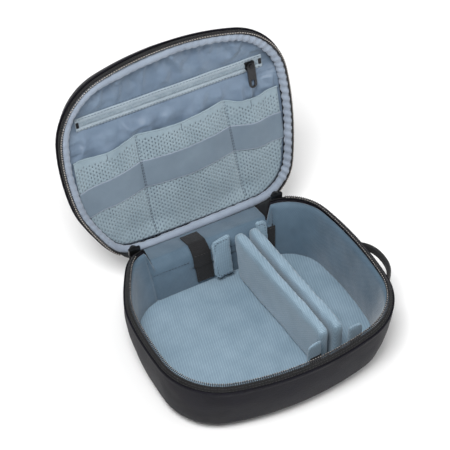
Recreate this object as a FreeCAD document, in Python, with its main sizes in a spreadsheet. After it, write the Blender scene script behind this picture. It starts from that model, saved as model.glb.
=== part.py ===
import FreeCAD, Part
import math
import os
import Sketcher

# Soft travel organizer case: a fabric-covered moulded base and a lid on a
# fabric hinge, closed by a zipper on three sides.  The base holds two padded
# dividers; the lid holds a zip pocket, three mesh pockets and an elastic band.
# The model stands open.  X runs across the case, Y from the front to the
# hinge, Z up, with the origin in the middle of the resting face.
# Lid pieces are drawn lying closed, with Z measured from the closing plane,
# and are then turned open about the hinge.

doc = FreeCAD.newDocument("travel_organizer")
Vector = FreeCAD.Vector

SIZES = {
    # Outline of the zipped rim, in eight tangent arcs.
    "rim_half_width": 110.0, "rim_front": 83.0, "rim_back": 107.0,
    "rim_side_radius": 330.0, "rim_front_radius": 245.0, "rim_back_radius": 2500.0,
    "rim_front_corner": 60.0, "rim_back_corner": 44.0,
    # Outline of the base's foot.
    "foot_half_width": 102.0, "foot_front": 69.0, "foot_back": 95.0,
    "foot_side_radius": 330.0, "foot_front_radius": 260.0, "foot_back_radius": 2500.0,
    "foot_front_corner": 50.0, "foot_back_corner": 44.0,
    # Outline of the lid's flat top.
    "crown_half_width": 103.0, "crown_front": 76.0, "crown_back": 100.0,
    "crown_side_radius": 330.0, "crown_front_radius": 245.0, "crown_back_radius": 2500.0,
    "crown_front_corner": 54.0, "crown_back_corner": 40.0,
    "widest_place": 5.0,
    # How far the cuts reach past the case, and where the hinge side's cuts begin.
    "past": 130.0, "rear_cut": 60.0,
    # Shells.
    "seam_height": 62.0, "closing_height": 69.0, "wall": 4.0,
    "base_floor": 3.5, "foot_fillet": 15.0,
    "lid_seam": 7.0, "lid_depth": 32.0, "lid_roof": 3.5, "crown_fillet": 14.0,
    # Hinge.
    "hinge_place": 102.3, "hinge_height": 46.5, "hinge_half_width": 58.0,
    "notch_half_width": 61.0, "notch_floor": 43.6, "open_angle": 105.0,
    # Inner layers.
    "layer_gap": 0.3, "lining": 1.2, "board": 1.5, "pad": 4.0, "board_edge": 14.0,
    "lid_board_edge": 13.0, "pad_inset_low": 10.0, "pad_inset_high": 6.2,
    "lining_inset_low": 5.3, "lining_inset_high": 4.2,
    "lining_top": 66.0, "lining_fillet": 9.5, "gusset": 1.0, "gusset_lean": 2.8,
    "gusset_place": 102.5, "hinge_lining_place": 101.2,
    # Main zipper.
    "tape": 1.0, "tape_gap": 0.1, "tape_margin": 2.0,
    "tape_seam_inset": 0.8, "tape_edge_inset": 2.2,
    "coil_low": 2.0, "coil_high": 4.6, "coil_thick": 1.7, "coil_gap": 0.2,
    "track_end": 76.5, "slider_place": 70.0, "slider_half_length": 5.5,
    "slider_thick": 3.3, "slider_height": 6.0,
    "slider_back": 106.4, "slider_fillet": 0.8,
    "post": 2.0, "post_length": 2.6, "post_cap": 4.4, "post_cap_thick": 0.8,
    "pull_thick": 1.6, "pull_width": 7.5,
    "pull_length": 22.0, "pull_hole": 2.8, "pull_gap": 0.5,
    "pull_slot_half_width": 1.5, "pull_slot_drop": 0.5, "pull_slot_rise": 4.0,
    "tab_inner": 61.5, "tab_outer": 72.0, "tab_place": 94.0, "tab_thick": 1.0,
    "tab_low": 48.0, "tab_high": 65.0,
    # Lid interior.
    "piping_out": 4.3, "piping_in": 9.8, "piping_low": 0.9, "piping_high": 6.3,
    "piping_fillet": 2.2, "panel_depth": 13.0, "panel": 1.0,
    "panel_inset": 5.9, "panel_split": 0.1,
    "pocket_zip_place": -32.0, "pocket_zip_half_length": 89.5,
    "pocket_tape_width": 12.4, "pocket_tape": 0.6, "pocket_coil_width": 3.5,
    "pocket_coil_thick": 1.5, "pocket_coil_half_length": 86.0,
    "pocket_coil_gap": 0.1, "stop_length": 2.5, "stop_half_width": 2.6, "stop_thick": 2.0,
    "pocket_slider_place": 77.0, "pocket_slider_half_length": 4.5,
    "pocket_slider_width": 7.2, "pocket_slider_thick": 3.1,
    "pocket_slider_offset": 0.7, "pocket_slider_fillet": 1.2, "groove_gap": 0.4,
    "pocket_post_length": 2.3, "pocket_pull_gap": 0.35,
    # Mesh pockets and band.
    "mesh_side": 96.0, "stitch_left": -38.0, "stitch_right": 48.0,
    "mesh_top": -5.0, "mesh_bottom": 93.0, "mesh_rise": 10.0, "mesh": 1.0,
    "mesh_low": 2.2, "mesh_gap": 0.2, "mesh_inset": 10.4, "mesh_overlap": 0.5,
    "band_top": 22.0, "band_width": 25.0, "band": 1.0, "band_gap": 0.4,
    # Dividers.
    "divider_left": 27.0, "divider_right": 41.0, "divider_thick": 10.0,
    "divider_front": -50.0, "divider_back": 81.0, "divider_low": 10.0,
    "divider_top": 61.0, "divider_fillet": 4.6, "divider_middle": 22.0, "divider_turn": 4.5,
    "flap_thick": 3.5, "flap_gap": 1.0, "flap_root_gap": 0.4, "flap_fillet": 1.6,
    "flap_low": 16.0, "flap_top": 57.0,
    "flap_rear_left_length": 20.0, "flap_rear_right_length": 12.0,
    "flap_front_left_length": 15.0, "flap_front_right_length": 15.0,
    "hook_thick": 0.8, "hook_gap": 0.1,
    "hook_low": 20.0, "hook_top": 42.0, "hook_margin": 2.0,
    # Loop strips.
    "strip_width": 18.0, "strip_thick": 1.0, "strip_low": 14.0, "strip_length": 28.0,
    "strip_gap": 1.05,
    "strip_left": -11.0, "strip_right": 56.0,
    # Side handle.
    "handle_height": 39.0, "handle_width": 20.0, "handle_reach": 13.5,
    "handle_half_chord": 25.0, "handle_half_length": 37.0, "handle_thick": 2.2,
    "handle_sink": 0.7,
}

RIM = ("rim", "rim", "0")
# Steps in which a rounded corner is drawn, and how far a pull's ends bulge per half width.
ROUND_STEPS = 4
END_BULGE = 0.8

OUTLINE_SIDES = ("half_width", "front", "back")
OUTLINE_RADII = ("side_radius", "front_radius", "back_radius", "front_corner", "back_corner")


def make_sheet():
    """Write every driving size into the spreadsheet."""
    sheet = doc.addObject("Spreadsheet::Sheet", "Sizes")
    for row, (alias, value) in enumerate(SIZES.items(), start=1):
        sheet.set("A%d" % row, alias)
        sheet.set("B%d" % row, str(value))
        sheet.setAlias("B%d" % row, alias)
    doc.recompute()
    return sheet


sheet = make_sheet()


def size(expression):
    """The number that an expression on the sheet has now."""
    return float(sheet.evalExpression(str(expression)))


def bound(alias):
    return "Sizes." + alias


# ---------------------------------------------------------------- sketches

def new_body(name):
    body = doc.addObject("PartDesign::Body", name)
    body.Label = name
    return body


def new_sketch(body, plane, height):
    """An empty sketch on one of the body's own origin planes."""
    sketch = body.newObject("Sketcher::SketchObject", body.Name + "_sketch")
    support = [item for item in body.Origin.OriginFeatures if item.Role == plane][0]
    sketch.AttachmentSupport = (support, [""])
    sketch.MapMode = "FlatFace"
    sketch.setExpression("AttachmentOffset.Base.z", height)
    return sketch


def bind(sketch, constraint, name, expression):
    """Add a constraint whose value follows an expression."""
    index = sketch.addConstraint(constraint)
    sketch.renameConstraint(index, name)
    sketch.setExpression("Constraints." + name, expression)


def bind_point(sketch, geometry, position, name, across, along):
    bind(sketch, Sketcher.Constraint("DistanceX", geometry, position, size(across)),
         name + "_x", across)
    bind(sketch, Sketcher.Constraint("DistanceY", geometry, position, size(along)),
         name + "_y", along)


def arc(center, radius, start, end):
    """An arc from the direction start to the direction end, anticlockwise."""
    first = math.atan2(start.y, start.x)
    last = math.atan2(end.y, end.x)
    if last <= first:
        last += 2 * math.pi
    return Part.ArcOfCircle(Part.Circle(center, Vector(0, 0, 1), radius), first, last)


def segment(start, end, rise):
    """A line, or an arc that rises to the right of the way from start to end."""
    if rise == 0:
        return Part.LineSegment(start, end), 1, 2
    middle = (start + end) / 2
    span = end - start
    right = Vector(span.y, -span.x, 0) / span.Length
    radius = (span.Length ** 2 / 4 + rise ** 2) / (2 * abs(rise))
    center = middle + right * (rise - math.copysign(radius, rise))
    if rise > 0:
        return arc(center, radius, start - center, end - center), 1, 2
    return arc(center, radius, end - center, start - center), 2, 1


def profile(body, plane, height, corners, rises=None):
    """A closed profile; rises gives the arc height of the sides that are arcs."""
    rises = rises or {}
    sketch = new_sketch(body, plane, height)
    points = [Vector(size(across), size(along), 0) for across, along in corners]
    ends = []
    for index, start in enumerate(points):
        following = (index + 1) % len(points)
        rise = rises.get(index, "0")
        shape, first, last = segment(start, points[following], size(rise))
        ends.append((sketch.addGeometry(shape), first, last))
        if size(rise):
            run_x = "(%s - (%s))" % (corners[following][0], corners[index][0])
            run_y = "(%s - (%s))" % (corners[following][1], corners[index][1])
            tall = "abs(%s)" % rise
            radius = "(%s^2 + %s^2) / (8 * %s) + %s / 2" % (run_x, run_y, tall, tall)
            bind(sketch, Sketcher.Constraint("Radius", ends[-1][0], size(radius)),
                 "radius_%d" % index, radius)
    for index, (geometry, first, _) in enumerate(ends):
        before = ends[index - 1]
        sketch.addConstraint(Sketcher.Constraint("Coincident", before[0], before[2], geometry, first))
        bind_point(sketch, geometry, first, "corner_%d" % index, *corners[index])
    return sketch


def rectangle(body, height, left, right, front, back):
    corners = [(left, front), (right, front), (right, back), (left, back)]
    return profile(body, "XY_Plane", height, corners)


def level_size(level, name):
    """An outline's size between its low and high family."""
    low, high, share = level
    if low == high:
        return "Sizes.%s_%s" % (low, name)
    return "Sizes.%s_%s + (Sizes.%s_%s - Sizes.%s_%s) * (%s)" % (
        low, name, high, name, low, name, share)


def outline_expressions(level, inset):
    """Radii and centre places of the eight arcs, as expressions."""
    sides = {name: level_size(level, name) for name in OUTLINE_SIDES}
    radii = {name: level_size(level, name) for name in OUTLINE_RADII}
    centers = {
        "right": ("%s - (%s)" % (sides["half_width"], radii["side_radius"]), bound("widest_place")),
        "back": ("0", "%s - (%s)" % (sides["back"], radii["back_radius"])),
        "left": ("%s - (%s)" % (radii["side_radius"], sides["half_width"]), bound("widest_place")),
        "front": ("0", "%s - (%s)" % (radii["front_radius"], sides["front"])),
    }
    return centers, {name: "%s - (%s)" % (text, inset) for name, text in radii.items()}


def corner_center(first, first_radius, second, second_radius, corner_radius, outward):
    """Centre of the corner arc that touches two long arcs from inside."""
    reach_one = first_radius - corner_radius
    reach_two = second_radius - corner_radius
    line = second - first
    along = (reach_one ** 2 - reach_two ** 2 + line.Length ** 2) / (2 * line.Length)
    off = math.sqrt(reach_one ** 2 - along ** 2)
    unit = line / line.Length
    side = Vector(-unit.y, unit.x, 0)
    choices = [first + unit * along + side * off, first + unit * along - side * off]
    return max(choices, key=lambda point: point.dot(outward))


def outline(body, height, level, inset="0"):
    """The case's outline at a height, drawn in by an inset."""
    centers, radii = outline_expressions(level, inset)
    place = {name: Vector(size(pair[0]), size(pair[1]), 0) for name, pair in centers.items()}
    radius = {name: size(text) for name, text in radii.items()}
    long_radius = {"right": "side_radius", "back": "back_radius",
                   "left": "side_radius", "front": "front_radius"}
    turns = [("right", "back", "back_corner", Vector(1, 1, 0)),
             ("back", "left", "back_corner", Vector(-1, 1, 0)),
             ("left", "front", "front_corner", Vector(-1, -1, 0)),
             ("front", "right", "front_corner", Vector(1, -1, 0))]
    corners = [corner_center(place[one], radius[long_radius[one]], place[two],
                             radius[long_radius[two]], radius[corner], outward)
               for one, two, corner, outward in turns]
    sketch = new_sketch(body, "XY_Plane", height)
    arcs = []
    for index, (one, two, corner, _) in enumerate(turns):
        center = corners[index]
        before = corners[index - 1]
        side = long_radius[one]
        arcs.append((sketch.addGeometry(arc(place[one], radius[side], before - place[one],
                                            center - place[one])), side))
        arcs.append((sketch.addGeometry(arc(center, radius[corner], center - place[one],
                                            center - place[two])), corner))
    for index, (geometry, name) in enumerate(arcs):
        following = arcs[(index + 1) % len(arcs)][0]
        sketch.addConstraint(Sketcher.Constraint("Tangent", geometry, 2, following, 1))
        bind(sketch, Sketcher.Constraint("Radius", geometry, radius[name]),
             "radius_%d" % index, radii[name])
    for index, (one, _, _, _) in enumerate(turns):
        bind_point(sketch, arcs[2 * index][0], 3, one, *centers[one])
    return sketch


# ---------------------------------------------------------------- features

def loft(body, levels, cut=False):
    """A ruled loft through outlines, each given as (height, level, inset)."""
    sketches = [outline(body, *entry) for entry in levels]
    kind = "PartDesign::SubtractiveLoft" if cut else "PartDesign::AdditiveLoft"
    feature = body.newObject(kind, body.Name + "_loft")
    feature.Profile = sketches[0]
    feature.Sections = sketches[1:]
    feature.Ruled = True
    body.Tip = feature
    doc.recompute()
    return feature


def pad(body, sketch, length, midplane=False):
    feature = body.newObject("PartDesign::Pad", body.Name + "_pad")
    feature.Profile = sketch
    feature.setExpression("Length", length)
    feature.Midplane = midplane
    body.Tip = feature
    doc.recompute()
    return feature


def pocket(body, sketch, length, reverse=False, midplane=False):
    """Cut along the sketch's negative normal, or along it when reversed."""
    before = body.Shape.Volume
    feature = body.newObject("PartDesign::Pocket", body.Name + "_pocket")
    feature.Profile = sketch
    feature.setExpression("Length", length)
    feature.Reversed = reverse
    feature.Midplane = midplane
    body.Tip = feature
    doc.recompute()
    if body.Shape.Volume >= before - 0.01:
        raise ValueError(body.Name + ": a pocket cuts nothing")
    return feature


def fillet(body, radius, choose):
    """Round the edges that the test chooses on the body's present shape."""
    names = ["Edge%d" % number for number, edge in enumerate(body.Shape.Edges, start=1)
             if choose(edge)]
    base = body.Tip
    feature = body.newObject("PartDesign::Fillet", body.Name + "_fillet")
    feature.Base = (base, names)
    feature.setExpression("Radius", radius)
    body.Tip = feature
    doc.recompute()
    return feature


def flat_at(height):
    """A test for edges that lie in the plane at a height."""
    level = size(height)
    return lambda edge: all(abs(vertex.Point.z - level) < 1e-4 for vertex in edge.Vertexes)


def upright(edge):
    """A test for straight edges that run along Z."""
    ends = [vertex.Point for vertex in edge.Vertexes]
    return len(ends) == 2 and abs(ends[0].z - ends[1].z) > 1 and \
        math.hypot(ends[0].x - ends[1].x, ends[0].y - ends[1].y) < 1e-4


def rounded(flat, away, mouth, radius, inset, level):
    """Outlines from a flat end, round a corner of a radius, to the open mouth."""
    entries = []
    for step in range(ROUND_STEPS + 1):
        turn = math.radians(90.0 * step / ROUND_STEPS)
        height = "(%s) + (%.6f) * (%s)" % (flat, away * (1 - math.cos(turn)), radius)
        drawn_in = "(%s) + %.6f * (%s)" % (inset, 1 - math.sin(turn), radius)
        entries.append((height, level(height), drawn_in))
    entries.append((mouth, level(mouth), inset))
    return entries


def base_level(height):
    return ("foot", "rim", "(%s) / Sizes.seam_height" % height)


def lid_level(height):
    share = "((%s) - Sizes.lid_seam) / (Sizes.lid_depth - Sizes.lid_seam)" % height
    return ("rim", "crown", share)


def ring(name, low, high, outer, inner, level=None):
    """A wall between two heights; outer and inner give (low inset, high inset)."""
    level = level or (lambda height: RIM)
    body = new_body(name)
    loft(body, [(low, level(low), outer[0]), (high, level(high), outer[1])])
    loft(body, [(low, level(low), inner[0]), (high, level(high), inner[1])], cut=True)
    return body


def cut_back(body, half_width, low, high):
    """Open a wall at the hinge side between two heights."""
    sketch = rectangle(body, high, "-(%s)" % half_width, half_width, bound("rear_cut"), bound("past"))
    pocket(body, sketch, "(%s) - (%s)" % (high, low))


def box(name, left, right, front, back, low, high):
    body = new_body(name)
    pad(body, rectangle(body, low, left, right, front, back), "(%s) - (%s)" % (high, low))
    return body


# ---------------------------------------------------------------- base

def make_base_shell():
    """Fabric laminated on moulded foam: tub with a rounded foot and a rear notch."""
    body = new_body("base_shell")
    high = bound("seam_height")
    loft(body, rounded("0", 1, high, bound("foot_fillet"), "0", base_level))
    loft(body, rounded(bound("base_floor"), 1, high, "Sizes.foot_fillet - Sizes.wall",
                       bound("wall"), base_level), cut=True)
    cut_back(body, bound("notch_half_width"), bound("notch_floor"), "Sizes.seam_height + 1")
    return body


def make_base_layers():
    """Stiffening board, floor pad and wall lining."""
    board_low = "Sizes.base_floor + Sizes.layer_gap"
    board = new_body("base_board")
    pad(board, outline(board, board_low, base_level(board_low), bound("board_edge")), bound("board"))
    pad_low = "Sizes.base_floor + 2 * Sizes.layer_gap + Sizes.board"
    pad_high = pad_low + " + Sizes.pad"
    floor = new_body("base_floor_pad")
    loft(floor, [(pad_low, base_level(pad_low), bound("pad_inset_low")),
                 (pad_high, base_level(pad_high), bound("pad_inset_high"))])
    low = pad_high + " + Sizes.layer_gap"
    high = bound("lining_top")
    insets = (bound("lining_inset_low"), bound("lining_inset_high"))
    inner = tuple(inset + " + Sizes.lining" for inset in insets)
    lining = ring("base_lining", low, high, insets, inner, rim_above_seam)
    cut_back(lining, bound("notch_half_width"), bound("notch_floor"), "Sizes.lining_top + 1")
    return [board, floor, lining]


def rim_above_seam(height):
    """The base's wall level below the seam, the rim's own outline above it."""
    if size(height) >= size(bound("seam_height")):
        return RIM
    return base_level(height)


def make_zipper_half(prefix, seam, edge, coil_near, coil_far):
    """One tape with its coil along the rim, open at the hinge side."""
    low, high = sorted((seam, edge), key=size)
    seam_inset, edge_inset = bound("tape_seam_inset"), bound("tape_edge_inset")
    insets = (seam_inset, edge_inset) if low == seam else (edge_inset, seam_inset)
    inner = tuple(inset + " + Sizes.tape" for inset in insets)
    tape = ring(prefix + "_zipper_tape", low, high, insets, inner)
    cut_back(tape, bound("track_end"), low + " - 1", high + " + 1")
    coil_low, coil_high = sorted((coil_near, coil_far), key=size)
    coil = ring(prefix + "_zipper_coil", coil_low, coil_high, (bound("coil_low"),) * 2,
                (bound("coil_high"),) * 2)
    cut_back(coil, bound("track_end"), coil_low + " - 1", coil_high + " + 1")
    return [tape, coil]


def make_main_slider(side, sign):
    """Zipper slider parked at the end of the track, with its post."""
    name = "main_slider_" + side
    center = "%d * Sizes.slider_place" % sign
    low = "Sizes.seam_height + Sizes.layer_gap"
    back = bound("slider_back")
    body = box(name, center + " - Sizes.slider_half_length", center + " + Sizes.slider_half_length",
               back + " - Sizes.slider_thick", back, low, low + " + Sizes.slider_height")
    fillet(body, bound("slider_fillet"), upright)
    post_height = low + " + Sizes.slider_height / 2"
    add_round(body, "XZ_Plane", "-" + back, center, post_height, "Sizes.post / 2",
              bound("post_length"))
    add_round(body, "XZ_Plane", "-(%s + Sizes.post_length)" % back, center, post_height,
              "Sizes.post_cap / 2", bound("post_cap_thick"))
    return body


def add_round(body, plane, height, across, along, radius, length):
    """A round pad on the body, against the plane's normal."""
    sketch = new_sketch(body, plane, height)
    center = Vector(size(across), size(along), 0)
    geometry = sketch.addGeometry(Part.Circle(center, Vector(0, 0, 1), size(radius)))
    bind(sketch, Sketcher.Constraint("Radius", geometry, size(radius)), "radius", radius)
    bind_point(sketch, geometry, 3, "center", across, along)
    feature = pad(body, sketch, length)
    feature.Reversed = True
    doc.recompute()


def make_pull(name):
    """Flat pull hanging from the origin down -Y, lying on the XY plane."""
    body = new_body(name)
    half = "Sizes.pull_width / 2"
    end = "-(Sizes.pull_length - Sizes.pull_width / 2)"
    corners = [("-(%s)" % half, end), (half, end), (half, "0"), ("-(%s)" % half, "0")]
    bulge = "%s * %s" % (END_BULGE, half)
    pad(body, profile(body, "XY_Plane", "0", corners, {0: bulge, 2: bulge}), bound("pull_thick"))
    hole = new_sketch(body, "XY_Plane", bound("pull_thick"))
    radius = "Sizes.pull_hole / 2"
    ring_hole = hole.addGeometry(Part.Circle(Vector(0, 0, 0), Vector(0, 0, 1), size(radius)))
    hole.addConstraint(Sketcher.Constraint("Coincident", ring_hole, 3, -1, 1))
    bind(hole, Sketcher.Constraint("Radius", ring_hole, size(radius)), "radius", radius)
    pocket(body, hole, "Sizes.pull_thick + 1")
    slot = bound("pull_slot_half_width")
    far = end + " - Sizes.pull_slot_drop"
    near = end + " + Sizes.pull_slot_rise"
    slot_bulge = "%s * %s" % (END_BULGE, slot)
    slot_corners = [("-" + slot, far), (slot, far), (slot, near), ("-" + slot, near)]
    window = profile(body, "XY_Plane", bound("pull_thick"), slot_corners,
                     {0: slot_bulge, 2: slot_bulge})
    pocket(body, window, "Sizes.pull_thick + 1")
    return body


def make_main_pull(side, sign):
    """Pull hanging outside the rear wall from its slider's post."""
    body = make_pull("main_pull_" + side)
    post_height = size("Sizes.seam_height + Sizes.layer_gap + Sizes.slider_height / 2")
    out = size("Sizes.slider_back + Sizes.pull_gap + Sizes.pull_thick")
    place = Vector(sign * size(bound("slider_place")), out, post_height)
    body.Placement = FreeCAD.Placement(place, FreeCAD.Rotation(Vector(1, 0, 0), 90))
    return body


def make_end_tab(side, sign):
    """Turned-in end of the zipper tape inside a rear corner."""
    left, right = sorted(("%d * Sizes.tab_inner" % sign, "%d * Sizes.tab_outer" % sign), key=size)
    place = bound("tab_place")
    return box("zipper_end_tab_" + side, left, right, place, place + " + Sizes.tab_thick",
               bound("tab_low"), bound("tab_high"))


def make_loop_strip(name, across, front):
    """Loop strip laid on the sloping lining of the front or rear wall."""
    body = new_body(name)
    half = "Sizes.strip_width / 2"
    pad(body, rectangle(body, "0", "-(%s)" % half, half, "0", bound("strip_thick")),
        bound("strip_length"))
    low = size(bound("strip_low"))
    level = base_level(bound("strip_low"))
    inset = "Sizes.lining_inset_low + Sizes.lining + Sizes.strip_gap"
    centers, radii = outline_expressions(level, inset)
    key = "front" if front else "back"
    center = Vector(size(centers[key][0]), size(centers[key][1]), 0)
    radius = size(radii[key + "_radius"])
    across_now = size(across)
    turn = math.asin(across_now / radius)
    reach = radius * math.cos(turn)
    foot_side = bound("foot_" + key)
    rim_side = bound("rim_" + key)
    slope = math.degrees(math.atan2(size(rim_side) - size(foot_side), size(bound("seam_height"))))
    sign = -1 if front else 1
    spot = Vector(across_now, center.y + sign * reach, low)
    lean = FreeCAD.Rotation(Vector(1, 0, 0), -sign * slope)
    yaw = FreeCAD.Rotation(Vector(0, 0, 1), -sign * math.degrees(turn))
    flip = FreeCAD.Rotation(Vector(0, 0, 1), 0 if front else 180)
    body.Placement = FreeCAD.Placement(spot, yaw * lean * flip)
    return body


def make_handle():
    """Webbing grab handle bowed out from the right side wall."""
    body = new_body("side_handle")
    chord = bound("handle_half_chord")
    length = bound("handle_half_length")
    inner = "-Sizes.handle_sink"
    outer = inner + " + Sizes.handle_thick"
    inner_chord = chord + " - Sizes.handle_thick"
    corners = [(outer, "-(%s)" % length), (outer, "-(%s)" % chord), (outer, chord), (outer, length),
               (inner, length), (inner, inner_chord), (inner, "-(%s)" % inner_chord),
               (inner, "-(%s)" % length)]
    rise = "Sizes.handle_reach - (%s)" % outer
    pad(body, profile(body, "XY_Plane", "0", corners, {1: rise, 5: "-(%s)" % rise}),
        bound("handle_width"))
    slope = math.atan2(size("Sizes.rim_half_width - Sizes.foot_half_width"),
                       size(bound("seam_height")))
    height = size(bound("handle_height"))
    wall_place = size(bound("foot_half_width")) + math.tan(slope) * height
    body.Placement = FreeCAD.Placement(Vector(wall_place, size(bound("widest_place")), height),
                                       FreeCAD.Rotation(Vector(0, 1, 0), math.degrees(slope)))
    return body


def divider_end(end, height):
    """Place of a divider's end at a height; the rear end leans with the rear wall."""
    if end == "front":
        return bound("divider_front")
    slope = "(Sizes.rim_back - Sizes.foot_back) / Sizes.seam_height"
    return "Sizes.divider_back + %s * (%s - Sizes.flap_low)" % (slope, height)


def divider_placement(side):
    """Turn a divider and its flaps a little about the divider's middle."""
    middle = Vector(size(bound("divider_" + side)), size(bound("divider_middle")), 0)
    turn = FreeCAD.Rotation(Vector(0, 0, 1), size(bound("divider_turn")))
    return FreeCAD.Placement(Vector(0, 0, 0), turn, middle)


def make_divider(side):
    """Padded divider with a rounded top."""
    body = new_body("divider_" + side)
    low, high = bound("divider_low"), bound("divider_top")
    corners = [(divider_end("front", low), low), (divider_end("rear", low), low),
               (divider_end("rear", high), high), (divider_end("front", high), high)]
    pad(body, profile(body, "YZ_Plane", bound("divider_" + side), corners),
        bound("divider_thick"), midplane=True)
    top = flat_at(high)
    half = size("Sizes.divider_thick / 2")
    fillet(body, bound("divider_fillet"),
           lambda edge: top(edge) and abs(edge.Vertexes[0].Y - edge.Vertexes[-1].Y) > half * 2 + 1)
    body.Placement = divider_placement(side)
    return body


def along_end(name, end, edges, heights, near, thick):
    """A layer lying along a divider's end, a distance away from it."""
    body = new_body(name)
    away = 1 if end == "rear" else -1
    low, high = heights
    far = "%s + %s" % (near, thick)
    corners = [("%s + %d * (%s)" % (divider_end(end, height), away, distance), height)
               for height, distance in ((low, near), (low, far), (high, far), (high, near))]
    middle = "((%s) + (%s)) / 2" % edges
    width = "abs((%s) - (%s))" % edges
    pad(body, profile(body, "YZ_Plane", middle, corners), width, midplane=True)
    return body


def make_flap(side, end, sign):
    """End flap of a divider, lying along the front or rear wall, with its hook patch."""
    root = "Sizes.divider_%s + %d * (Sizes.divider_thick / 2 + Sizes.flap_root_gap)" % (side, sign)
    tip = root + " + %d * Sizes.flap_%s_%s_length" % (sign, end, side)
    flap = along_end("divider_%s_%s_flap" % (side, end), end, (root, tip),
                     (bound("flap_low"), bound("flap_top")), bound("flap_gap"), bound("flap_thick"))
    tip_place = size(tip)
    fillet(flap, bound("flap_fillet"),
           lambda edge: all(abs(vertex.X - tip_place) < 1e-3 for vertex in edge.Vertexes)
           and abs(edge.Vertexes[0].Z - edge.Vertexes[-1].Z) > 1)
    hook_edges = (root + " + %d * Sizes.hook_margin" % sign, tip + " - %d * Sizes.hook_margin" % sign)
    hook = along_end("hook_%s_%s" % (side, end), end, hook_edges,
                     (bound("hook_low"), bound("hook_top")),
                     "Sizes.flap_gap + Sizes.flap_thick + Sizes.hook_gap", bound("hook_thick"))
    for body in (flap, hook):
        body.Placement = divider_placement(side)
    return [flap, hook]


# ---------------------------------------------------------------- lid

def lid_placement():
    """Turn a piece drawn on the closed lid open about the hinge."""
    lift = FreeCAD.Placement(Vector(0, 0, size(bound("closing_height"))), FreeCAD.Rotation())
    axis_point = Vector(0, size(bound("hinge_place")), size(bound("hinge_height")))
    turn = FreeCAD.Placement(Vector(0, 0, 0),
                             FreeCAD.Rotation(Vector(1, 0, 0), -size(bound("open_angle"))),
                             axis_point)
    return turn * lift


def make_lid_shell():
    """Domed lid: fabric laminated on moulded foam."""
    body = new_body("lid_shell")
    low = bound("lid_seam")
    high = bound("lid_depth")
    loft(body, rounded(high, -1, low, bound("crown_fillet"), "0", lid_level))
    loft(body, rounded("Sizes.lid_depth - Sizes.lid_roof", -1, low,
                       "Sizes.crown_fillet - Sizes.wall", bound("wall"), lid_level), cut=True)
    return body


def make_lid_layers():
    """Stiffening board, domed lining and the padded piping round the mouth."""
    board_high = "Sizes.lid_depth - Sizes.lid_roof - Sizes.layer_gap"
    board_low = board_high + " - Sizes.board"
    board = new_body("lid_board")
    pad(board, outline(board, board_low, lid_level(board_low), bound("lid_board_edge")),
        bound("board"))
    lining = new_body("lid_lining")
    low = "Sizes.lid_seam + Sizes.layer_gap"
    high = board_low + " - Sizes.layer_gap"
    outer = "Sizes.wall + Sizes.layer_gap"
    loft(lining, rounded(high, -1, low, bound("lining_fillet"), outer, lid_level))
    loft(lining, rounded(high + " - Sizes.lining", -1, low, "Sizes.lining_fillet - Sizes.lining",
                         outer + " + Sizes.lining", lid_level), cut=True)
    piping = ring("lid_piping", bound("piping_low"), bound("piping_high"),
                  (bound("piping_out"),) * 2, (bound("piping_in"),) * 2)
    low_edges = flat_at(bound("piping_low"))
    high_edges = flat_at(bound("piping_high"))
    fillet(piping, bound("piping_fillet"), lambda edge: low_edges(edge) or high_edges(edge))
    return [board, lining, piping]


def make_lid_panel(name, upper):
    """Lining panel on one side of the pocket zipper, with the zipper's slot cut out."""
    body = new_body(name)
    low = bound("panel_depth")
    high = "Sizes.panel_depth + Sizes.panel"
    pad(body, outline(body, low, lid_level(low), bound("panel_inset")), bound("panel"))
    zip_place = bound("pocket_zip_place")
    front, back = "-Sizes.past", zip_place + " + Sizes.panel_split"
    if upper:
        front, back = zip_place + " - Sizes.panel_split", bound("past")
    pocket(body, rectangle(body, high, "-Sizes.past", bound("past"), front, back), "Sizes.panel + 1")
    half = "Sizes.pocket_tape_width / 2 + Sizes.layer_gap"
    length = "Sizes.pocket_zip_half_length + Sizes.layer_gap"
    slot = rectangle(body, high, "-(%s)" % length, length, "%s - (%s)" % (zip_place, half),
                     "%s + %s" % (zip_place, half))
    pocket(body, slot, "Sizes.panel + 1")
    return body


def make_pocket_zipper():
    """Tape, coil and end stops of the lid's zip pocket."""
    place = bound("pocket_zip_place")
    length = bound("pocket_zip_half_length")
    half_tape = "Sizes.pocket_tape_width / 2"
    depth = bound("panel_depth")
    tape = box("pocket_zipper_tape", "-" + length, length, "%s - %s" % (place, half_tape),
               "%s + %s" % (place, half_tape), depth, depth + " + Sizes.pocket_tape")
    coil_length = bound("pocket_coil_half_length")
    half_coil = "Sizes.pocket_coil_width / 2"
    coil_high = depth + " - Sizes.pocket_coil_gap"
    coil = box("pocket_zipper_coil", "-" + coil_length, coil_length,
               "%s - %s" % (place, half_coil), "%s + %s" % (place, half_coil),
               coil_high + " - Sizes.pocket_coil_thick", coil_high)
    stops = []
    for side, sign in (("left", -1), ("right", 1)):
        start = "%s + Sizes.layer_gap" % coil_length
        edges = sorted(("%d * (%s)" % (sign, start),
                        "%d * (%s + Sizes.stop_length)" % (sign, start)), key=size)
        stops.append(box("pocket_zipper_stop_" + side, edges[0], edges[1],
                         place + " - Sizes.stop_half_width", place + " + Sizes.stop_half_width",
                         coil_high + " - Sizes.stop_thick", coil_high))
    return [tape, coil] + stops


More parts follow.
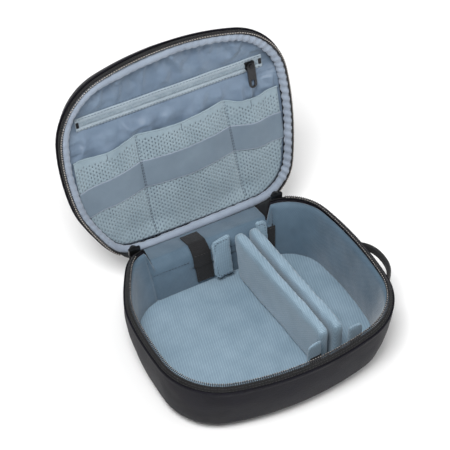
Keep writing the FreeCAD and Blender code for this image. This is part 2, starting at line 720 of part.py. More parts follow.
def make_pocket_slider():
    """Slider that straddles the pocket's coil, with a capped post for its pull."""
    center = bound("pocket_slider_place")
    place = bound("pocket_zip_place")
    half = "Sizes.pocket_slider_width / 2"
    high = "Sizes.panel_depth - Sizes.pocket_slider_offset"
    low = high + " - Sizes.pocket_slider_thick"
    body = box("pocket_slider", center + " - Sizes.pocket_slider_half_length",
               center + " + Sizes.pocket_slider_half_length",
               "%s - %s" % (place, half), "%s + %s" % (place, half), low, high)
    fillet(body, bound("pocket_slider_fillet"), upright)
    groove = "Sizes.pocket_coil_width / 2 + Sizes.groove_gap"
    through = " 2 * Sizes.pocket_slider_half_length"
    channel = rectangle(body, high, center + " -" + through, center + " +" + through,
                        "%s - (%s)" % (place, groove), "%s + %s" % (place, groove))
    pocket(body, channel, "Sizes.pocket_coil_gap + Sizes.pocket_coil_thick + Sizes.groove_gap"
                          " - Sizes.pocket_slider_offset")
    add_round(body, "XY_Plane", low, center, place, "Sizes.post / 2", bound("pocket_post_length"))
    add_round(body, "XY_Plane", low + " - Sizes.pocket_post_length", center, place,
              "Sizes.post_cap / 2", bound("post_cap_thick"))
    return body


def make_pocket_pull():
    """Pull hanging towards the hinge side from the pocket slider's post."""
    body = make_pull("pocket_pull")
    low = size("Sizes.panel_depth - Sizes.pocket_slider_offset - Sizes.pocket_slider_thick"
               " - Sizes.pocket_pull_gap")
    spot = Vector(size(bound("pocket_slider_place")), size(bound("pocket_zip_place")), low)
    flip = FreeCAD.Rotation(Vector(1, 0, 0), 180)
    body.Placement = FreeCAD.Placement(spot, flip)
    return body


ARCH_PLACES = ("-Sizes.mesh_side", "Sizes.stitch_left", "Sizes.stitch_right", "Sizes.mesh_side")


def make_mesh_pockets():
    """One mesh panel sewn down into three pockets open at the top."""
    body = new_body("mesh_pockets")
    low = bound("mesh_low")
    high = "Sizes.panel_depth - Sizes.mesh_gap"
    pad(body, outline(body, low, RIM, bound("mesh_inset")), "(%s) - %s" % (high, low))
    chain = [(place, high) for place in reversed(ARCH_PLACES)]
    outside = [("-Sizes.past", "-Sizes.past"), (bound("past"), "-Sizes.past"),
               (bound("past"), high)] + chain + [("-Sizes.past", high)]
    bulges = {index: "-Sizes.mesh_rise" for index in (3, 4, 5)}
    pocket(body, profile(body, "XZ_Plane", "0", outside, bulges), "2 * Sizes.past", midplane=True)
    for left, right in zip(ARCH_PLACES, ARCH_PLACES[1:]):
        start, end = left + " + Sizes.mesh", right + " - Sizes.mesh"
        over = high + " + Sizes.mesh_overlap"
        corners = [(start, over), (start, high), (end, high), (end, over)]
        inside = profile(body, "XZ_Plane", "-Sizes.mesh_bottom", corners,
                         {1: "Sizes.mesh_rise - Sizes.mesh"})
        pocket(body, inside, "2 * Sizes.past", reverse=True)
    top = rectangle(body, high + " + 1", "-Sizes.past", bound("past"), "-Sizes.past",
                    bound("mesh_top"))
    pocket(body, top, bound("lid_depth"))
    return body


def make_band():
    """Elastic band across the mesh pockets, sewn down at the same lines."""
    body = new_body("elastic_band")
    inner = "Sizes.panel_depth - Sizes.mesh_gap - Sizes.band_gap"
    outer = inner + " - Sizes.band"
    corners = [(place, outer) for place in ARCH_PLACES]
    corners += [(place, inner) for place in reversed(ARCH_PLACES)]
    bulges = {index: "Sizes.mesh_rise" for index in (0, 1, 2)}
    bulges.update({index: "-Sizes.mesh_rise" for index in (4, 5, 6)})
    sketch = profile(body, "XZ_Plane", "-(Sizes.band_top + Sizes.band_width / 2)", corners, bulges)
    pad(body, sketch, bound("band_width"), midplane=True)
    return body


def make_gusset(name, near):
    """Strip of the fabric hinge between the base's rear wall and the lid."""
    body = new_body(name)
    far = near + " + Sizes.gusset"
    low = "Sizes.hinge_height - Sizes.closing_height + Sizes.layer_gap"
    high = "Sizes.lid_seam - Sizes.tape_gap"
    lean = bound("gusset_lean")
    corners = [(near, low), (far, low), (far + " + " + lean, high), (near + " + " + lean, high)]
    pad(body, profile(body, "YZ_Plane", "0", corners), "2 * Sizes.hinge_half_width", midplane=True)
    return body


def check(objects):
    """Stop before writing anything if an object failed."""
    doc.recompute()
    for item in doc.Objects:
        if "Invalid" in item.State or "Error" in item.State:
            raise ValueError("%s failed: %s" % (item.Name, item.State))
    for item in objects:
        if item.Shape.isNull() or not item.Shape.isValid():
            raise ValueError(item.Label + " has no valid shape")


def build():
    base = [make_base_shell()] + make_base_layers()
    base += make_zipper_half("base", "Sizes.seam_height + Sizes.tape_gap",
                             "Sizes.closing_height - Sizes.tape_margin",
                             "Sizes.closing_height - Sizes.coil_gap",
                             "Sizes.closing_height - Sizes.coil_gap - Sizes.coil_thick")
    for side, sign in (("left", -1), ("right", 1)):
        base += [make_main_slider(side, sign), make_main_pull(side, sign), make_end_tab(side, sign)]
        base += [make_loop_strip("loop_strip_rear_" + side, bound("strip_" + side), False)]
        base += [make_loop_strip("loop_strip_front_" + side, bound("strip_" + side), True)]
        base += [make_divider(side)]
        base += make_flap(side, "rear", sign) + make_flap(side, "front", sign)
    base += [make_handle()]
    lid = [make_lid_shell()] + make_lid_layers()
    lid += make_zipper_half("lid", "Sizes.lid_seam - Sizes.tape_gap", bound("tape_margin"),
                            bound("coil_gap"), "Sizes.coil_gap + Sizes.coil_thick")
    lid += [make_lid_panel("lid_upper_panel", True), make_lid_panel("lid_lower_panel", False)]
    lid += make_pocket_zipper() + [make_pocket_slider(), make_pocket_pull()]
    lid += [make_mesh_pockets(), make_band()]
    lid += [make_gusset("hinge_gusset", bound("gusset_place")),
            make_gusset("hinge_lining", bound("hinge_lining_place"))]
    for body in lid:
        body.Placement = lid_placement() * body.Placement
    return base + lid


def export(objects):
    os.makedirs("parts", exist_ok=True)
    for item in objects:
        item.Shape.exportStep("parts/%s.step" % item.Label)


pieces = build()
check(pieces)
export(pieces)
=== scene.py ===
import math

import bpy
import numpy as np
from mathutils import Matrix, Vector, noise


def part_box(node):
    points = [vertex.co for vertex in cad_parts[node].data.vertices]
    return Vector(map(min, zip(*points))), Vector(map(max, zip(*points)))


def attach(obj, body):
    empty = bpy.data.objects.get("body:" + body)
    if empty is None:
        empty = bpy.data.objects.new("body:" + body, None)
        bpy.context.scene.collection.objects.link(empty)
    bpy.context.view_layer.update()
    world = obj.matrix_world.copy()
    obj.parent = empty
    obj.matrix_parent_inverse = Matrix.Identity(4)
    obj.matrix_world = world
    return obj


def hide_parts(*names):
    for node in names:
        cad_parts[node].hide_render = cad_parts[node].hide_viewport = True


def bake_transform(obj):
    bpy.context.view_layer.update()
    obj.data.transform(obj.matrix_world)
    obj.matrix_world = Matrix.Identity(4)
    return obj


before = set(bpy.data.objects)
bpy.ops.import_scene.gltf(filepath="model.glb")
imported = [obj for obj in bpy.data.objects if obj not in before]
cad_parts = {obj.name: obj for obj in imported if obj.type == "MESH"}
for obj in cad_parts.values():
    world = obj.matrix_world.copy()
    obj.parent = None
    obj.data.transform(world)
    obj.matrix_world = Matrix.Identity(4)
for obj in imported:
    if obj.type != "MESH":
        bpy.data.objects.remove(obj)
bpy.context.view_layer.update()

MM = 0.001
TAU = 2 * math.pi

# Outlines of the case in millimetres: the zipped rim, the base's foot and the lid's flat top.
OUTLINES = {
    "rim": {"half": 110, "front": 83, "back": 107, "side_r": 330, "front_r": 245,
            "back_r": 2500, "front_c": 60, "back_c": 44},
    "foot": {"half": 102, "front": 69, "back": 95, "side_r": 330, "front_r": 260,
             "back_r": 2500, "front_c": 50, "back_c": 44},
    "crown": {"half": 103, "front": 76, "back": 100, "side_r": 330, "front_r": 245,
              "back_r": 2500, "front_c": 54, "back_c": 40},
}
WIDEST = 5.0
COUNT = 480
SEAM, CLOSING = 62.0, 69.0
LID_SEAM, LID_DEPTH = 7.0, 32.0
HINGE_Y, HINGE_Z, OPEN = 102.3, 46.5, math.radians(105)
NOTCH_FLOOR, NOTCH_HALF = 43.6, 60.0
TRACK_END = 76.5
ZIP_Y, ZIP_HALF = -32.0, 89.5
STITCH_LINES = ((-38.0, -35.0), (48.0, 55.0))
POCKET_SIDE = 97.0
STRIP_PLACES = (-11.0, 56.0)
DIVIDERS = {"left": (27.0, -1), "right": (41.0, 1)}
DIVIDER_MIDDLE, DIVIDER_TURN = 22.0, math.radians(4.5)
DIVIDER_FRONT, DIVIDER_BACK, DIVIDER_LOW, DIVIDER_TOP = -50.0, 81.0, 10.0, 61.0
FLAP_LOW, FLAP_TOP = 16.0, 57.0
FLAP_LENGTHS = {("rear", "left"): 20.0, ("rear", "right"): 12.0, ("front", "left"): 15.0,
                ("front", "right"): 15.0}
REAR_LEAN = 12.0 / 62.0


# ---------------------------------------------------------------- outlines and walls
def run_along(path):
    """Length along a path up to each of its points."""
    return np.r_[0, np.cumsum(np.linalg.norm(np.diff(path, axis=0), axis=1))]


def read_along(places, run, path):
    """Points of a path at given lengths along it."""
    return np.stack([np.interp(places, run, column) for column in path.T], 1)


def unit(vectors):
    """Rows of vectors scaled to length one."""
    return vectors / (np.linalg.norm(vectors, axis=1)[:, None] + 1e-12)


def ease(t):
    """A smooth step from 0 to 1."""
    t = np.clip(t, 0, 1)
    return t * t * (3 - 2 * t)


def corner_center(first, first_r, second, second_r, corner_r, toward):
    """Centre of the corner arc that touches two side arcs from inside."""
    a, b = first_r - corner_r, second_r - corner_r
    line = second - first
    length = np.linalg.norm(line)
    along = (a * a - b * b + length * length) / (2 * length)
    across = math.sqrt(a * a - along * along)
    unit = line / length
    side = np.array([-unit[1], unit[0]])
    choices = [first + unit * along + side * across, first + unit * along - side * across]
    return max(choices, key=lambda spot: float(spot @ toward))


def outline(shape):
    """Evenly spaced points of a closed outline from the rear middle, with inward normals."""
    s = OUTLINES[shape]
    centers = {"right": np.array([s["half"] - s["side_r"], WIDEST]),
               "back": np.array([0.0, s["back"] - s["back_r"]]),
               "left": np.array([s["side_r"] - s["half"], WIDEST]),
               "front": np.array([0.0, s["front_r"] - s["front"]])}
    radii = {"right": s["side_r"], "back": s["back_r"], "left": s["side_r"], "front": s["front_r"]}
    turns = [("right", "back", s["back_c"], (1, 1)), ("back", "left", s["back_c"], (-1, 1)),
             ("left", "front", s["front_c"], (-1, -1)), ("front", "right", s["front_c"], (1, -1))]
    corners = [corner_center(centers[a], radii[a], centers[b], radii[b], r, np.array(way, float))
               for a, b, r, way in turns]
    points = []
    for place, (side, following, corner_r, _) in enumerate(turns):
        here, before = corners[place], corners[place - 1]
        for center, radius, start, end in (
                (centers[side], radii[side], before - centers[side], here - centers[side]),
                (here, corner_r, here - centers[side], here - centers[following])):
            first = math.atan2(start[1], start[0])
            last = math.atan2(end[1], end[0])
            if last <= first:
                last += TAU
            angle = np.linspace(first, last, 90)[:-1]
            points.append(center + radius * np.stack([np.cos(angle), np.sin(angle)], 1))
    loop = np.concatenate(points)
    start = int(np.argmin(np.abs(loop[:, 0]) + (loop[:, 1] < 0) * 1000))
    loop = np.roll(loop, -start, axis=0)
    closed = np.vstack([loop, loop[:1]])
    run = run_along(closed)
    spots = read_along(np.linspace(0, run[-1], COUNT + 1)[:-1], run, closed)
    ahead = unit(np.roll(spots, -1, axis=0) - np.roll(spots, 1, axis=0))
    return spots, np.stack([-ahead[:, 1], ahead[:, 0]], 1), run[-1]


def settle(points, share):
    """Draws the rear left corner in a little, as the soft case has settled there."""
    offset = points[..., :2] - np.array([-99.0, 84.0])
    pull = 8.0 * share * np.exp(-(offset ** 2).sum(-1) / 27.0 ** 2)
    points[..., 0] += 0.80 * pull
    points[..., 1] -= 0.60 * pull
    return points


def slacken(points):
    """Lets the lid's left side bow out a little."""
    out = np.clip((-points[..., 0] - 70) / 40, 0, 1) * np.exp(-((points[..., 1] + 8) / 46) ** 2)
    points[..., 0] -= 2.6 * out
    return points


def lid_to_world(points):
    """Turns points of the closed lid's frame open about the hinge."""
    y = points[..., 1] - HINGE_Y
    z = points[..., 2] + CLOSING - HINGE_Z
    c, s = math.cos(OPEN), math.sin(OPEN)
    return np.stack([points[..., 0], y * c + z * s + HINGE_Y, z * c - y * s + HINGE_Z], -1)


class Wall:
    """Side wall between two outlines; at() gives points at an inset and a height."""

    def __init__(self, low, high, low_z, high_z, lid):
        self.low, self.low_n, _ = outline(low)
        self.high, self.high_n, _ = outline(high)
        self.low_z, self.high_z, self.lid = low_z, high_z, lid
        self.length = outline("rim")[2]

    def _pick(self, table, u):
        u = np.mod(u, COUNT)
        first = np.floor(u).astype(int) % COUNT
        t = (u - np.floor(u))[..., None]
        return table[first] * (1 - t) + table[(first + 1) % COUNT] * t

    def flat(self, u, inset, z):
        """Points in the closed case's own frame."""
        u, inset, z = np.broadcast_arrays(np.asarray(u, float), np.asarray(inset, float),
                                          np.asarray(z, float))
        t = np.clip((z - self.low_z) / (self.high_z - self.low_z), 0, 1)[..., None]
        spot = self._pick(self.low, u) * (1 - t) + self._pick(self.high, u) * t
        normal = self._pick(self.low_n, u) * (1 - t) + self._pick(self.high_n, u) * t
        normal = normal / np.linalg.norm(normal, axis=-1)[..., None]
        points = np.concatenate([spot + normal * inset[..., None], z[..., None]], -1)
        share = 1 - 0.6 * t[..., 0] if self.lid else 0.4 + 0.6 * t[..., 0]
        points = settle(points, share)
        return slacken(points) if self.lid else points

    def at(self, u, inset, z):
        points = self.flat(u, inset, z)
        return lid_to_world(points) if self.lid else points


BASE = Wall("foot", "rim", 0.0, SEAM, False)
LID = Wall("rim", "crown", LID_SEAM, LID_DEPTH, True)
STEP = BASE.length / COUNT


def u_range(gap=None, per=1):
    """Steps round the rim: all of it, or from one end of the rear gap to the other."""
    if gap is None:
        return np.arange(COUNT * per) / per
    rim = BASE.high
    first = next(i for i in range(COUNT) if rim[i, 0] < -gap)
    last = next(i for i in range(COUNT - 1, 0, -1) if rim[i, 0] > gap and rim[i, 1] > 0)
    return np.linspace(first, last, (last - first) * per + 1)


def noisy(points, scale, seed=0.0):
    """Smooth noise from -1 to 1 at points given in millimetres."""
    flat = np.asarray(points, float).reshape(-1, np.shape(points)[-1])
    if flat.shape[1] == 2:
        flat = np.c_[flat, np.zeros(len(flat))]
    out = [noise.noise(Vector(p / scale) + Vector((seed, seed * 1.7, 3.1))) for p in flat]
    return np.array(out).reshape(np.shape(points)[:-1])


# ---------------------------------------------------------------- meshes
class Shape:
    """Vertices in millimetres, faces, and a length in metres along and across for each corner."""

    def __init__(self, points, faces, uv):
        self.points = np.asarray(points, float).reshape(-1, 3)
        self.faces, self.uv = faces, uv

    def __add__(self, other):
        shift = len(self.points)
        moved = [tuple(i + shift for i in f) for f in other.faces]
        return Shape(np.vstack([self.points, other.points]), self.faces + moved,
                     self.uv + other.uv)


def grid(points, close_u=False, close_v=False, flip=False):
    """Quads over an n by m array of points."""
    n, m = points.shape[:2]
    along = np.vstack([points, points[:1]])[:, 0] if close_u else points[:, 0]
    u = run_along(along) * MM
    middle = points[n // 3]
    across = np.vstack([middle, middle[:1]]) if close_v else middle
    v = run_along(across) * MM
    faces, uv = [], []
    for i in range(n if close_u else n - 1):
        for j in range(m if close_v else m - 1):
            k, l = (i + 1) % n, (j + 1) % m
            face = [i * m + j, k * m + j, k * m + l, i * m + l]
            spots = [(u[i], v[j]), (u[i + 1], v[j]), (u[i + 1], v[j + 1]), (u[i], v[j + 1])]
            if flip:
                face.reverse()
                spots.reverse()
            faces.append(tuple(face))
            uv.append(spots)
    return Shape(points.reshape(-1, 3), faces, uv)


def cap(points, flip=False):
    """A fan over a closed loop of points."""
    n = len(points)
    center = points.mean(0)
    faces = [(i, (i + 1) % n, n) for i in range(n)]
    uv = []
    for a, b, _ in faces:
        uv.append([tuple(points[a][:2] * MM), tuple(points[b][:2] * MM), tuple(center[:2] * MM)])
    if flip:
        faces = [f[::-1] for f in faces]
        uv = [t[::-1] for t in uv]
    return Shape(np.vstack([points, center]), faces, uv)


def sweep(wall, u, insets, heights, closed_section=True):
    """A section of insets and heights swept round the wall, capped if it doesn't go all round."""
    insets, heights = np.asarray(insets, float), np.asarray(heights, float)
    if insets.ndim == 1:
        insets = np.repeat(insets[None], len(u), 0)
    if heights.ndim == 1:
        heights = np.repeat(heights[None], len(u), 0)
    points = wall.at(np.asarray(u)[:, None], insets, heights)
    whole = abs((u[1] - u[0]) * len(u) - COUNT) < 1e-6
    shape = grid(points, close_u=whole, close_v=closed_section)
    if not whole and closed_section:
        shape += cap(points[0], True) + cap(points[-1])
    return shape


def tube(path, radius, sides=8, closed=False):
    """A tube along a path; the radius is one number, or one for each point."""
    path = np.asarray(path, float)
    if closed:
        ahead = unit(np.roll(path, -1, 0) - np.roll(path, 1, 0))
    else:
        ahead = unit(np.gradient(path, axis=0))
    side = unit(np.cross(ahead, [0.0, 0.05, 1.0]))
    up = np.cross(side, ahead)
    a = np.linspace(0, TAU, sides, endpoint=False)
    radius = np.broadcast_to(np.asarray(radius, float), (len(path),))[:, None, None]
    ring = side[:, None] * np.cos(a)[None, :, None] + up[:, None] * np.sin(a)[None, :, None]
    points = path[:, None] + ring * radius
    shape = grid(points, close_u=closed, close_v=True, flip=True)
    if not closed:
        shape += cap(points[0]) + cap(points[-1], True)
    return shape


def scatter(template, origins, axes):
    """Copies of a template; axes holds each copy's three directions."""
    k = len(template.points)
    points = origins[:, None] + np.einsum("kj,njc->nkc", template.points, axes)
    faces, uv = [], []
    for i in range(len(origins)):
        faces += [tuple(v + i * k for v in f) for f in template.faces]
        uv += template.uv
    return Shape(points.reshape(-1, 3), faces, uv)


def stitches(path, lift, spacing, length, radius):
    """Small raised threads along a path; lift is the surface's direction."""
    path = np.asarray(path, float)
    run = run_along(path)
    spots = np.arange(spacing / 2, run[-1] - spacing / 2, spacing)
    centers = read_along(spots, run, path)
    ahead = unit(read_along(spots + 0.5, run, path) - centers)
    up = read_along(spots, run, np.broadcast_to(np.asarray(lift, float), path.shape))
    up = unit(up - (up * ahead).sum(1)[:, None] * ahead)
    side = np.cross(up, ahead)
    ts = np.linspace(-1, 1, 5)
    line = np.stack([ts * length / 2, 0 * ts, radius * 0.7 * (1 - ts ** 2) - radius * 0.35], 1)
    template = tube(line, radius * np.array([0.45, 0.95, 1, 0.95, 0.45]), sides=6)
    return scatter(template, centers, np.stack([ahead, side, up], 1))


def link(name, data):
    """A new object in the scene that shows the data."""
    made = bpy.data.objects.new(name, data)
    bpy.context.scene.collection.objects.link(made)
    return made


def piece(name, shape, material, body, replaced=()):
    """A Blender object of one shape that rides on a body."""
    mesh = bpy.data.meshes.new(name)
    mesh.from_pydata((shape.points * MM).tolist(), [], shape.faces)
    layer = mesh.uv_layers.new(name="UVMap")
    flat = np.array([c for corners in shape.uv for spot in corners for c in spot], np.float32)
    layer.data.foreach_set("uv", flat)
    mesh.polygons.foreach_set("use_smooth", [True] * len(mesh.polygons))
    mesh.materials.append(material)
    mesh.update()
    made = link(name, mesh)
    if body:
        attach(made, body)
    if replaced:
        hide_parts(*replaced)
    return made


def slab(spots, low, high, place):
    """A flat block: a closed outline given a thickness; place turns (along, across, up) to points."""
    n = len(spots)
    points = [(a, across, up) for across in (low, high) for a, up in spots]
    faces = [tuple(range(n)), tuple(range(2 * n - 1, n - 1, -1))]
    faces += [(k, k + n, (k + 1) % n + n, (k + 1) % n) for k in range(n)]
    return place(np.array(points, float)), faces


def puffed(name, block, corner, material, body, replaced, voxel, cap_move, seed):
    """A padded block, remeshed and swollen as cloth, with its movement capped."""
    points, faces = block
    data = bpy.data.meshes.new(name)
    data.from_pydata((points * MM).tolist(), [], faces)
    data.validate()
    made = link(name, data)
    for other in bpy.context.selected_objects:
        other.select_set(False)
    made.select_set(True)
    bpy.context.view_layer.objects.active = made
    bpy.ops.object.mode_set(mode="EDIT")
    bpy.ops.mesh.select_all(action="SELECT")
    bpy.ops.mesh.normals_make_consistent(inside=False)
    bpy.ops.object.mode_set(mode="OBJECT")
    bevel = made.modifiers.new("corner", "BEVEL")
    bevel.width, bevel.segments = corner * MM, 4
    bevel.limit_method, bevel.angle_limit = "ANGLE", math.radians(50)
    remesh = made.modifiers.new("voxels", "REMESH")
    remesh.mode, remesh.voxel_size = "VOXEL", voxel * MM
    for modifier in ("corner", "voxels"):
        bpy.ops.object.modifier_apply(modifier=modifier)
    rest = np.array([v.co for v in made.data.vertices], float)
    cloth = made.modifiers.new("cloth", "CLOTH")
    cloth.settings.use_pressure = True
    cloth.settings.uniform_pressure_force = 4
    cloth.settings.effector_weights.gravity = 0
    cloth.settings.quality = 5
    scene = bpy.context.scene
    for step in range(1, 21):
        scene.frame_set(step)
    graph = bpy.context.evaluated_depsgraph_get()
    swollen = made.evaluated_get(graph).data
    moved = np.array([v.co for v in swollen.vertices], float) - rest
    length = np.linalg.norm(moved, axis=1)[:, None] + 1e-12
    moved *= np.minimum(1, cap_move * MM / length)
    made.modifiers.remove(cloth)
    rest = rest + moved
    scene.frame_set(1)
    wave = noisy(rest / MM, 16.0, seed) * 0.35 + noisy(rest / MM, 6.0, seed + 4) * 0.12
    made.data.vertices.foreach_set("co", rest.astype(np.float32).ravel())
    made.data.update()
    normals = np.array([v.normal for v in made.data.vertices], float)
    rest += normals * wave[:, None] * MM
    made.data.vertices.foreach_set("co", rest.astype(np.float32).ravel())
    smooth = made.modifiers.new("smooth", "SUBSURF")
    smooth.levels = smooth.render_levels = 1
    bpy.ops.object.modifier_apply(modifier="smooth")
    made.data.polygons.foreach_set("use_smooth", [True] * len(made.data.polygons))
    made.data.materials.clear()
    made.data.materials.append(material)
    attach(made, body)
    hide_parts(*replaced)
    made.select_set(False)
    return made


# ---------------------------------------------------------------- materials
def linear(red, green, blue):
    def one(value):
        value /= 255.0
        return value / 12.92 if value <= 0.04045 else ((value + 0.055) / 1.055) ** 2.4
    return (one(red), one(green), one(blue), 1.0)


class Finish:
    """A Principled material with helpers for procedural patterns."""

    def __init__(self, name, rough, sheen=0.0, metal=0.0, spec=0.5):
        self.material = bpy.data.materials.new(name)
        self.material.use_nodes = True
        self.tree = self.material.node_tree
        self.nodes, self.links = self.tree.nodes, self.tree.links
        self.shader = self.nodes["Principled BSDF"]
        for socket, value in (("Roughness", rough), ("Metallic", metal), ("Sheen Weight", sheen),
                              ("Specular IOR Level", spec), ("Sheen Roughness", 0.45)):
            self.shader.inputs[socket].default_value = value
        self.coordinates = self.nodes.new("ShaderNodeTexCoord")

    def spots(self, flat, turn=0.0):
        """Where a pattern is read: along the cloth if flat, or else through the solid."""
        mapping = self.nodes.new("ShaderNodeMapping")
        lean = (0, 0) if flat else (math.radians(50), math.radians(35))
        mapping.inputs["Rotation"].default_value = (*lean, math.radians(turn))
        source = self.coordinates.outputs["UV" if flat else "Object"]
        self.links.new(source, mapping.inputs["Vector"])
        return mapping.outputs["Vector"]

    def ribs(self, pitch, turn, flat=True, wobble=0.4):
        """Parallel ribs, pitch in metres."""
        wave = self.nodes.new("ShaderNodeTexWave")
        wave.inputs["Scale"].default_value = 0.314159 / pitch
        wave.inputs["Distortion"].default_value = wobble
        wave.inputs["Detail"].default_value = 1
        wave.inputs["Detail Scale"].default_value = 1.5
        self.links.new(self.spots(flat, turn), wave.inputs["Vector"])
        return wave.outputs["Fac"]

    def grains(self, size, detail=3):
        """Soft noise, size in metres."""
        texture = self.nodes.new("ShaderNodeTexNoise")
        texture.inputs["Scale"].default_value = 1 / size
        texture.inputs["Detail"].default_value = detail
        self.links.new(self.spots(False), texture.inputs["Vector"])
        return texture.outputs["Fac"]

    def cells(self, size):
        """Rounded cells, size in metres."""
        texture = self.nodes.new("ShaderNodeTexVoronoi")
        texture.inputs["Scale"].default_value = 1 / size
        self.links.new(self.spots(False), texture.inputs["Vector"])
        return texture.outputs["Distance"]

    def math(self, kind, first, second):
        node = self.nodes.new("ShaderNodeMath")
        node.operation = kind
        for socket, value in zip(node.inputs, (first, second)):
            if isinstance(value, (int, float)):
                socket.default_value = value
            else:
                self.links.new(value, socket)
        return node.outputs[0]

    def color(self, factor, dark, light, low=0.3, high=0.7):
        ramp = self.nodes.new("ShaderNodeValToRGB")
        ramp.color_ramp.elements[0].position = low
        ramp.color_ramp.elements[1].position = high
        ramp.color_ramp.elements[0].color = dark
        ramp.color_ramp.elements[1].color = light
        self.links.new(factor, ramp.inputs["Fac"])
        return ramp.outputs["Color"]

    def blend(self, kind, factor, first, second):
        node = self.nodes.new("ShaderNodeMix")
        node.data_type, node.blend_type = "RGBA", kind
        slots = [s for s in node.inputs if s.type == "RGBA"]
        if isinstance(factor, (int, float)):
            node.inputs[0].default_value = factor
        else:
            self.links.new(factor, node.inputs[0])
        for socket, value in zip(slots, (first, second)):
            if isinstance(value, tuple):
                socket.default_value = value
            else:
                self.links.new(value, socket)
        return next(s for s in node.outputs if s.type == "RGBA")

    def paint(self, color):
        self.links.new(color, self.shader.inputs["Base Color"])

    def rough(self, factor, low, high):
        node = self.nodes.new("ShaderNodeMapRange")
        node.inputs["To Min"].default_value = low
        node.inputs["To Max"].default_value = high
        self.links.new(factor, node.inputs["Value"])
        self.links.new(node.outputs["Result"], self.shader.inputs["Roughness"])

    def bump(self, height, depth, strength=0.6):
        """Raised relief, depth in metres."""
        node = self.nodes.new("ShaderNodeBump")
        node.inputs["Strength"].default_value = strength
        node.inputs["Distance"].default_value = depth
        self.links.new(height, node.inputs["Height"])
        existing = self.shader.inputs["Normal"].links
        if existing:
            self.links.new(existing[0].from_socket, node.inputs["Normal"])
        self.links.new(node.outputs["Normal"], self.shader.inputs["Normal"])


def woven(name, dark, light, pitch, turn, rough, sheen, flat=True, depth=0.00025, cross=True,
          strength=0.6):
    """Cloth with crossing ribs and soft colour variation."""
    made = Finish(name, rough, sheen)
    first = made.ribs(pitch, turn, flat)
    pattern = made.math("MULTIPLY", first, made.ribs(pitch, turn + 90, flat)) if cross else first
    clouds = made.grains(0.02, detail=4)
    base = made.color(clouds, dark, light)
    shade = made.color(pattern, (0.72, 0.72, 0.74, 1), (1.06, 1.06, 1.05, 1), 0.0, 0.9)
    made.paint(made.blend("MULTIPLY", 1.0, base, shade))
    made.rough(made.grains(0.004), rough - 0.08, rough + 0.08)
    made.bump(pattern, depth, strength)
    made.bump(made.grains(0.0006, detail=2), depth * 0.5, 0.3)
    return made.material


def coated_fabric():
    """Dark coated outer fabric with a fine leather-like grain."""
    made = Finish("coated_fabric", 0.55, 0.0, spec=0.11)
    grain = made.cells(0.0011)
    clouds = made.grains(0.03, detail=5)
    base = made.color(clouds, linear(15, 14, 21), linear(23, 22, 31))
    shade = made.color(grain, (1.12, 1.12, 1.12, 1), (0.8, 0.8, 0.8, 1), 0.05, 0.6)
    made.paint(made.blend("MULTIPLY", 1.0, base, shade))
    made.rough(clouds, 0.5, 0.64)
    made.bump(made.math("SUBTRACT", 1.0, grain), 0.00022, 0.55)
    made.bump(made.grains(0.0035, detail=3), 0.0003, 0.35)
    return made.material


def satin_fabric():
    made = Finish("satin_lining", 0.4, 0.15)
    threads = made.ribs(0.0005, 90, True, 0.8)
    clouds = made.grains(0.018, detail=4)
    base = made.color(clouds, linear(96, 114, 134), linear(114, 132, 151))
    shade = made.color(threads, (0.9, 0.9, 0.92, 1), (1.04, 1.04, 1.04, 1), 0.1, 0.9)
    made.paint(made.blend("MULTIPLY", 1.0, base, shade))
    made.bump(threads, 0.00012, 0.4)
    made.bump(made.grains(0.006, detail=4), 0.0005, 0.3)
    return made.material


def plain_board():
    made = Finish("stiffening_board", 0.8)
    made.paint(made.color(made.grains(0.003, detail=5), linear(52, 52, 54), linear(70, 70, 72)))
    made.bump(made.grains(0.001), 0.0002, 0.4)
    return made.material


def painted_metal():
    made = Finish("slider_metal", 0.35, metal=0.9)
    made.paint(made.color(made.grains(0.004, detail=5), linear(36, 36, 38), linear(58, 58, 60)))
    made.rough(made.grains(0.002, detail=4), 0.28, 0.45)
    made.bump(made.grains(0.0006), 0.00005, 0.3)
    return made.material


def moulded_plastic(name, dark, light, rough):
    made = Finish(name, rough)
    made.paint(made.color(made.grains(0.003, detail=4), dark, light))
    made.rough(made.grains(0.0015, detail=3), rough - 0.06, rough + 0.06)
    made.bump(made.grains(0.0005, detail=2), 0.00006, 0.35)
    return made.material


def loop_pile():
    made = Finish("hook_and_loop", 0.9, 0.1)
    fuzz = made.grains(0.0007, detail=4)
    made.paint(made.color(fuzz, linear(10, 10, 12), linear(28, 28, 31)))
    made.bump(fuzz, 0.0006, 0.9)
    return made.material


SHELL = coated_fabric()
# The lining's colour is darker than the divider fabric: partly its own tone, partly painted shade of
# the case's shadowed inside.
LINING = woven("lining_weave", linear(80, 104, 122), linear(95, 119, 137), 0.0011, 45, 0.72, 0.35)
PAD = woven("divider_weave", linear(130, 155, 171), linear(146, 170, 186), 0.0013, 45, 0.75, 0.3,
            flat=False, depth=0.0003)
SATIN = satin_fabric()
PIPING = woven("piping_weave", linear(145, 157, 173), linear(158, 171, 187), 0.0007, 45, 0.62, 0.4)
TAPE = woven("tape_weave", linear(10, 10, 12), linear(18, 18, 21), 0.0009, 0, 0.85, 0.0)
POCKET_TAPE = woven("pocket_tape_weave", linear(155, 170, 181), linear(171, 186, 195), 0.0012, 0,
                    0.75, 0.3, depth=0.0004)
MESH = woven("mesh_knit", linear(136, 155, 166), linear(152, 170, 180), 0.0009, 0, 0.72, 0.3,
             cross=False)
ELASTIC = woven("elastic_weave", linear(108, 125, 140), linear(120, 137, 151), 0.0008, 62, 0.7,
                0.3, cross=False)
WEBBING = woven("webbing_weave", linear(16, 16, 19), linear(30, 30, 33), 0.0016, 45, 0.8, 0.08,
                depth=0.0005)
COIL = moulded_plastic("coil_nylon", linear(26, 26, 29), linear(46, 46, 50), 0.35)
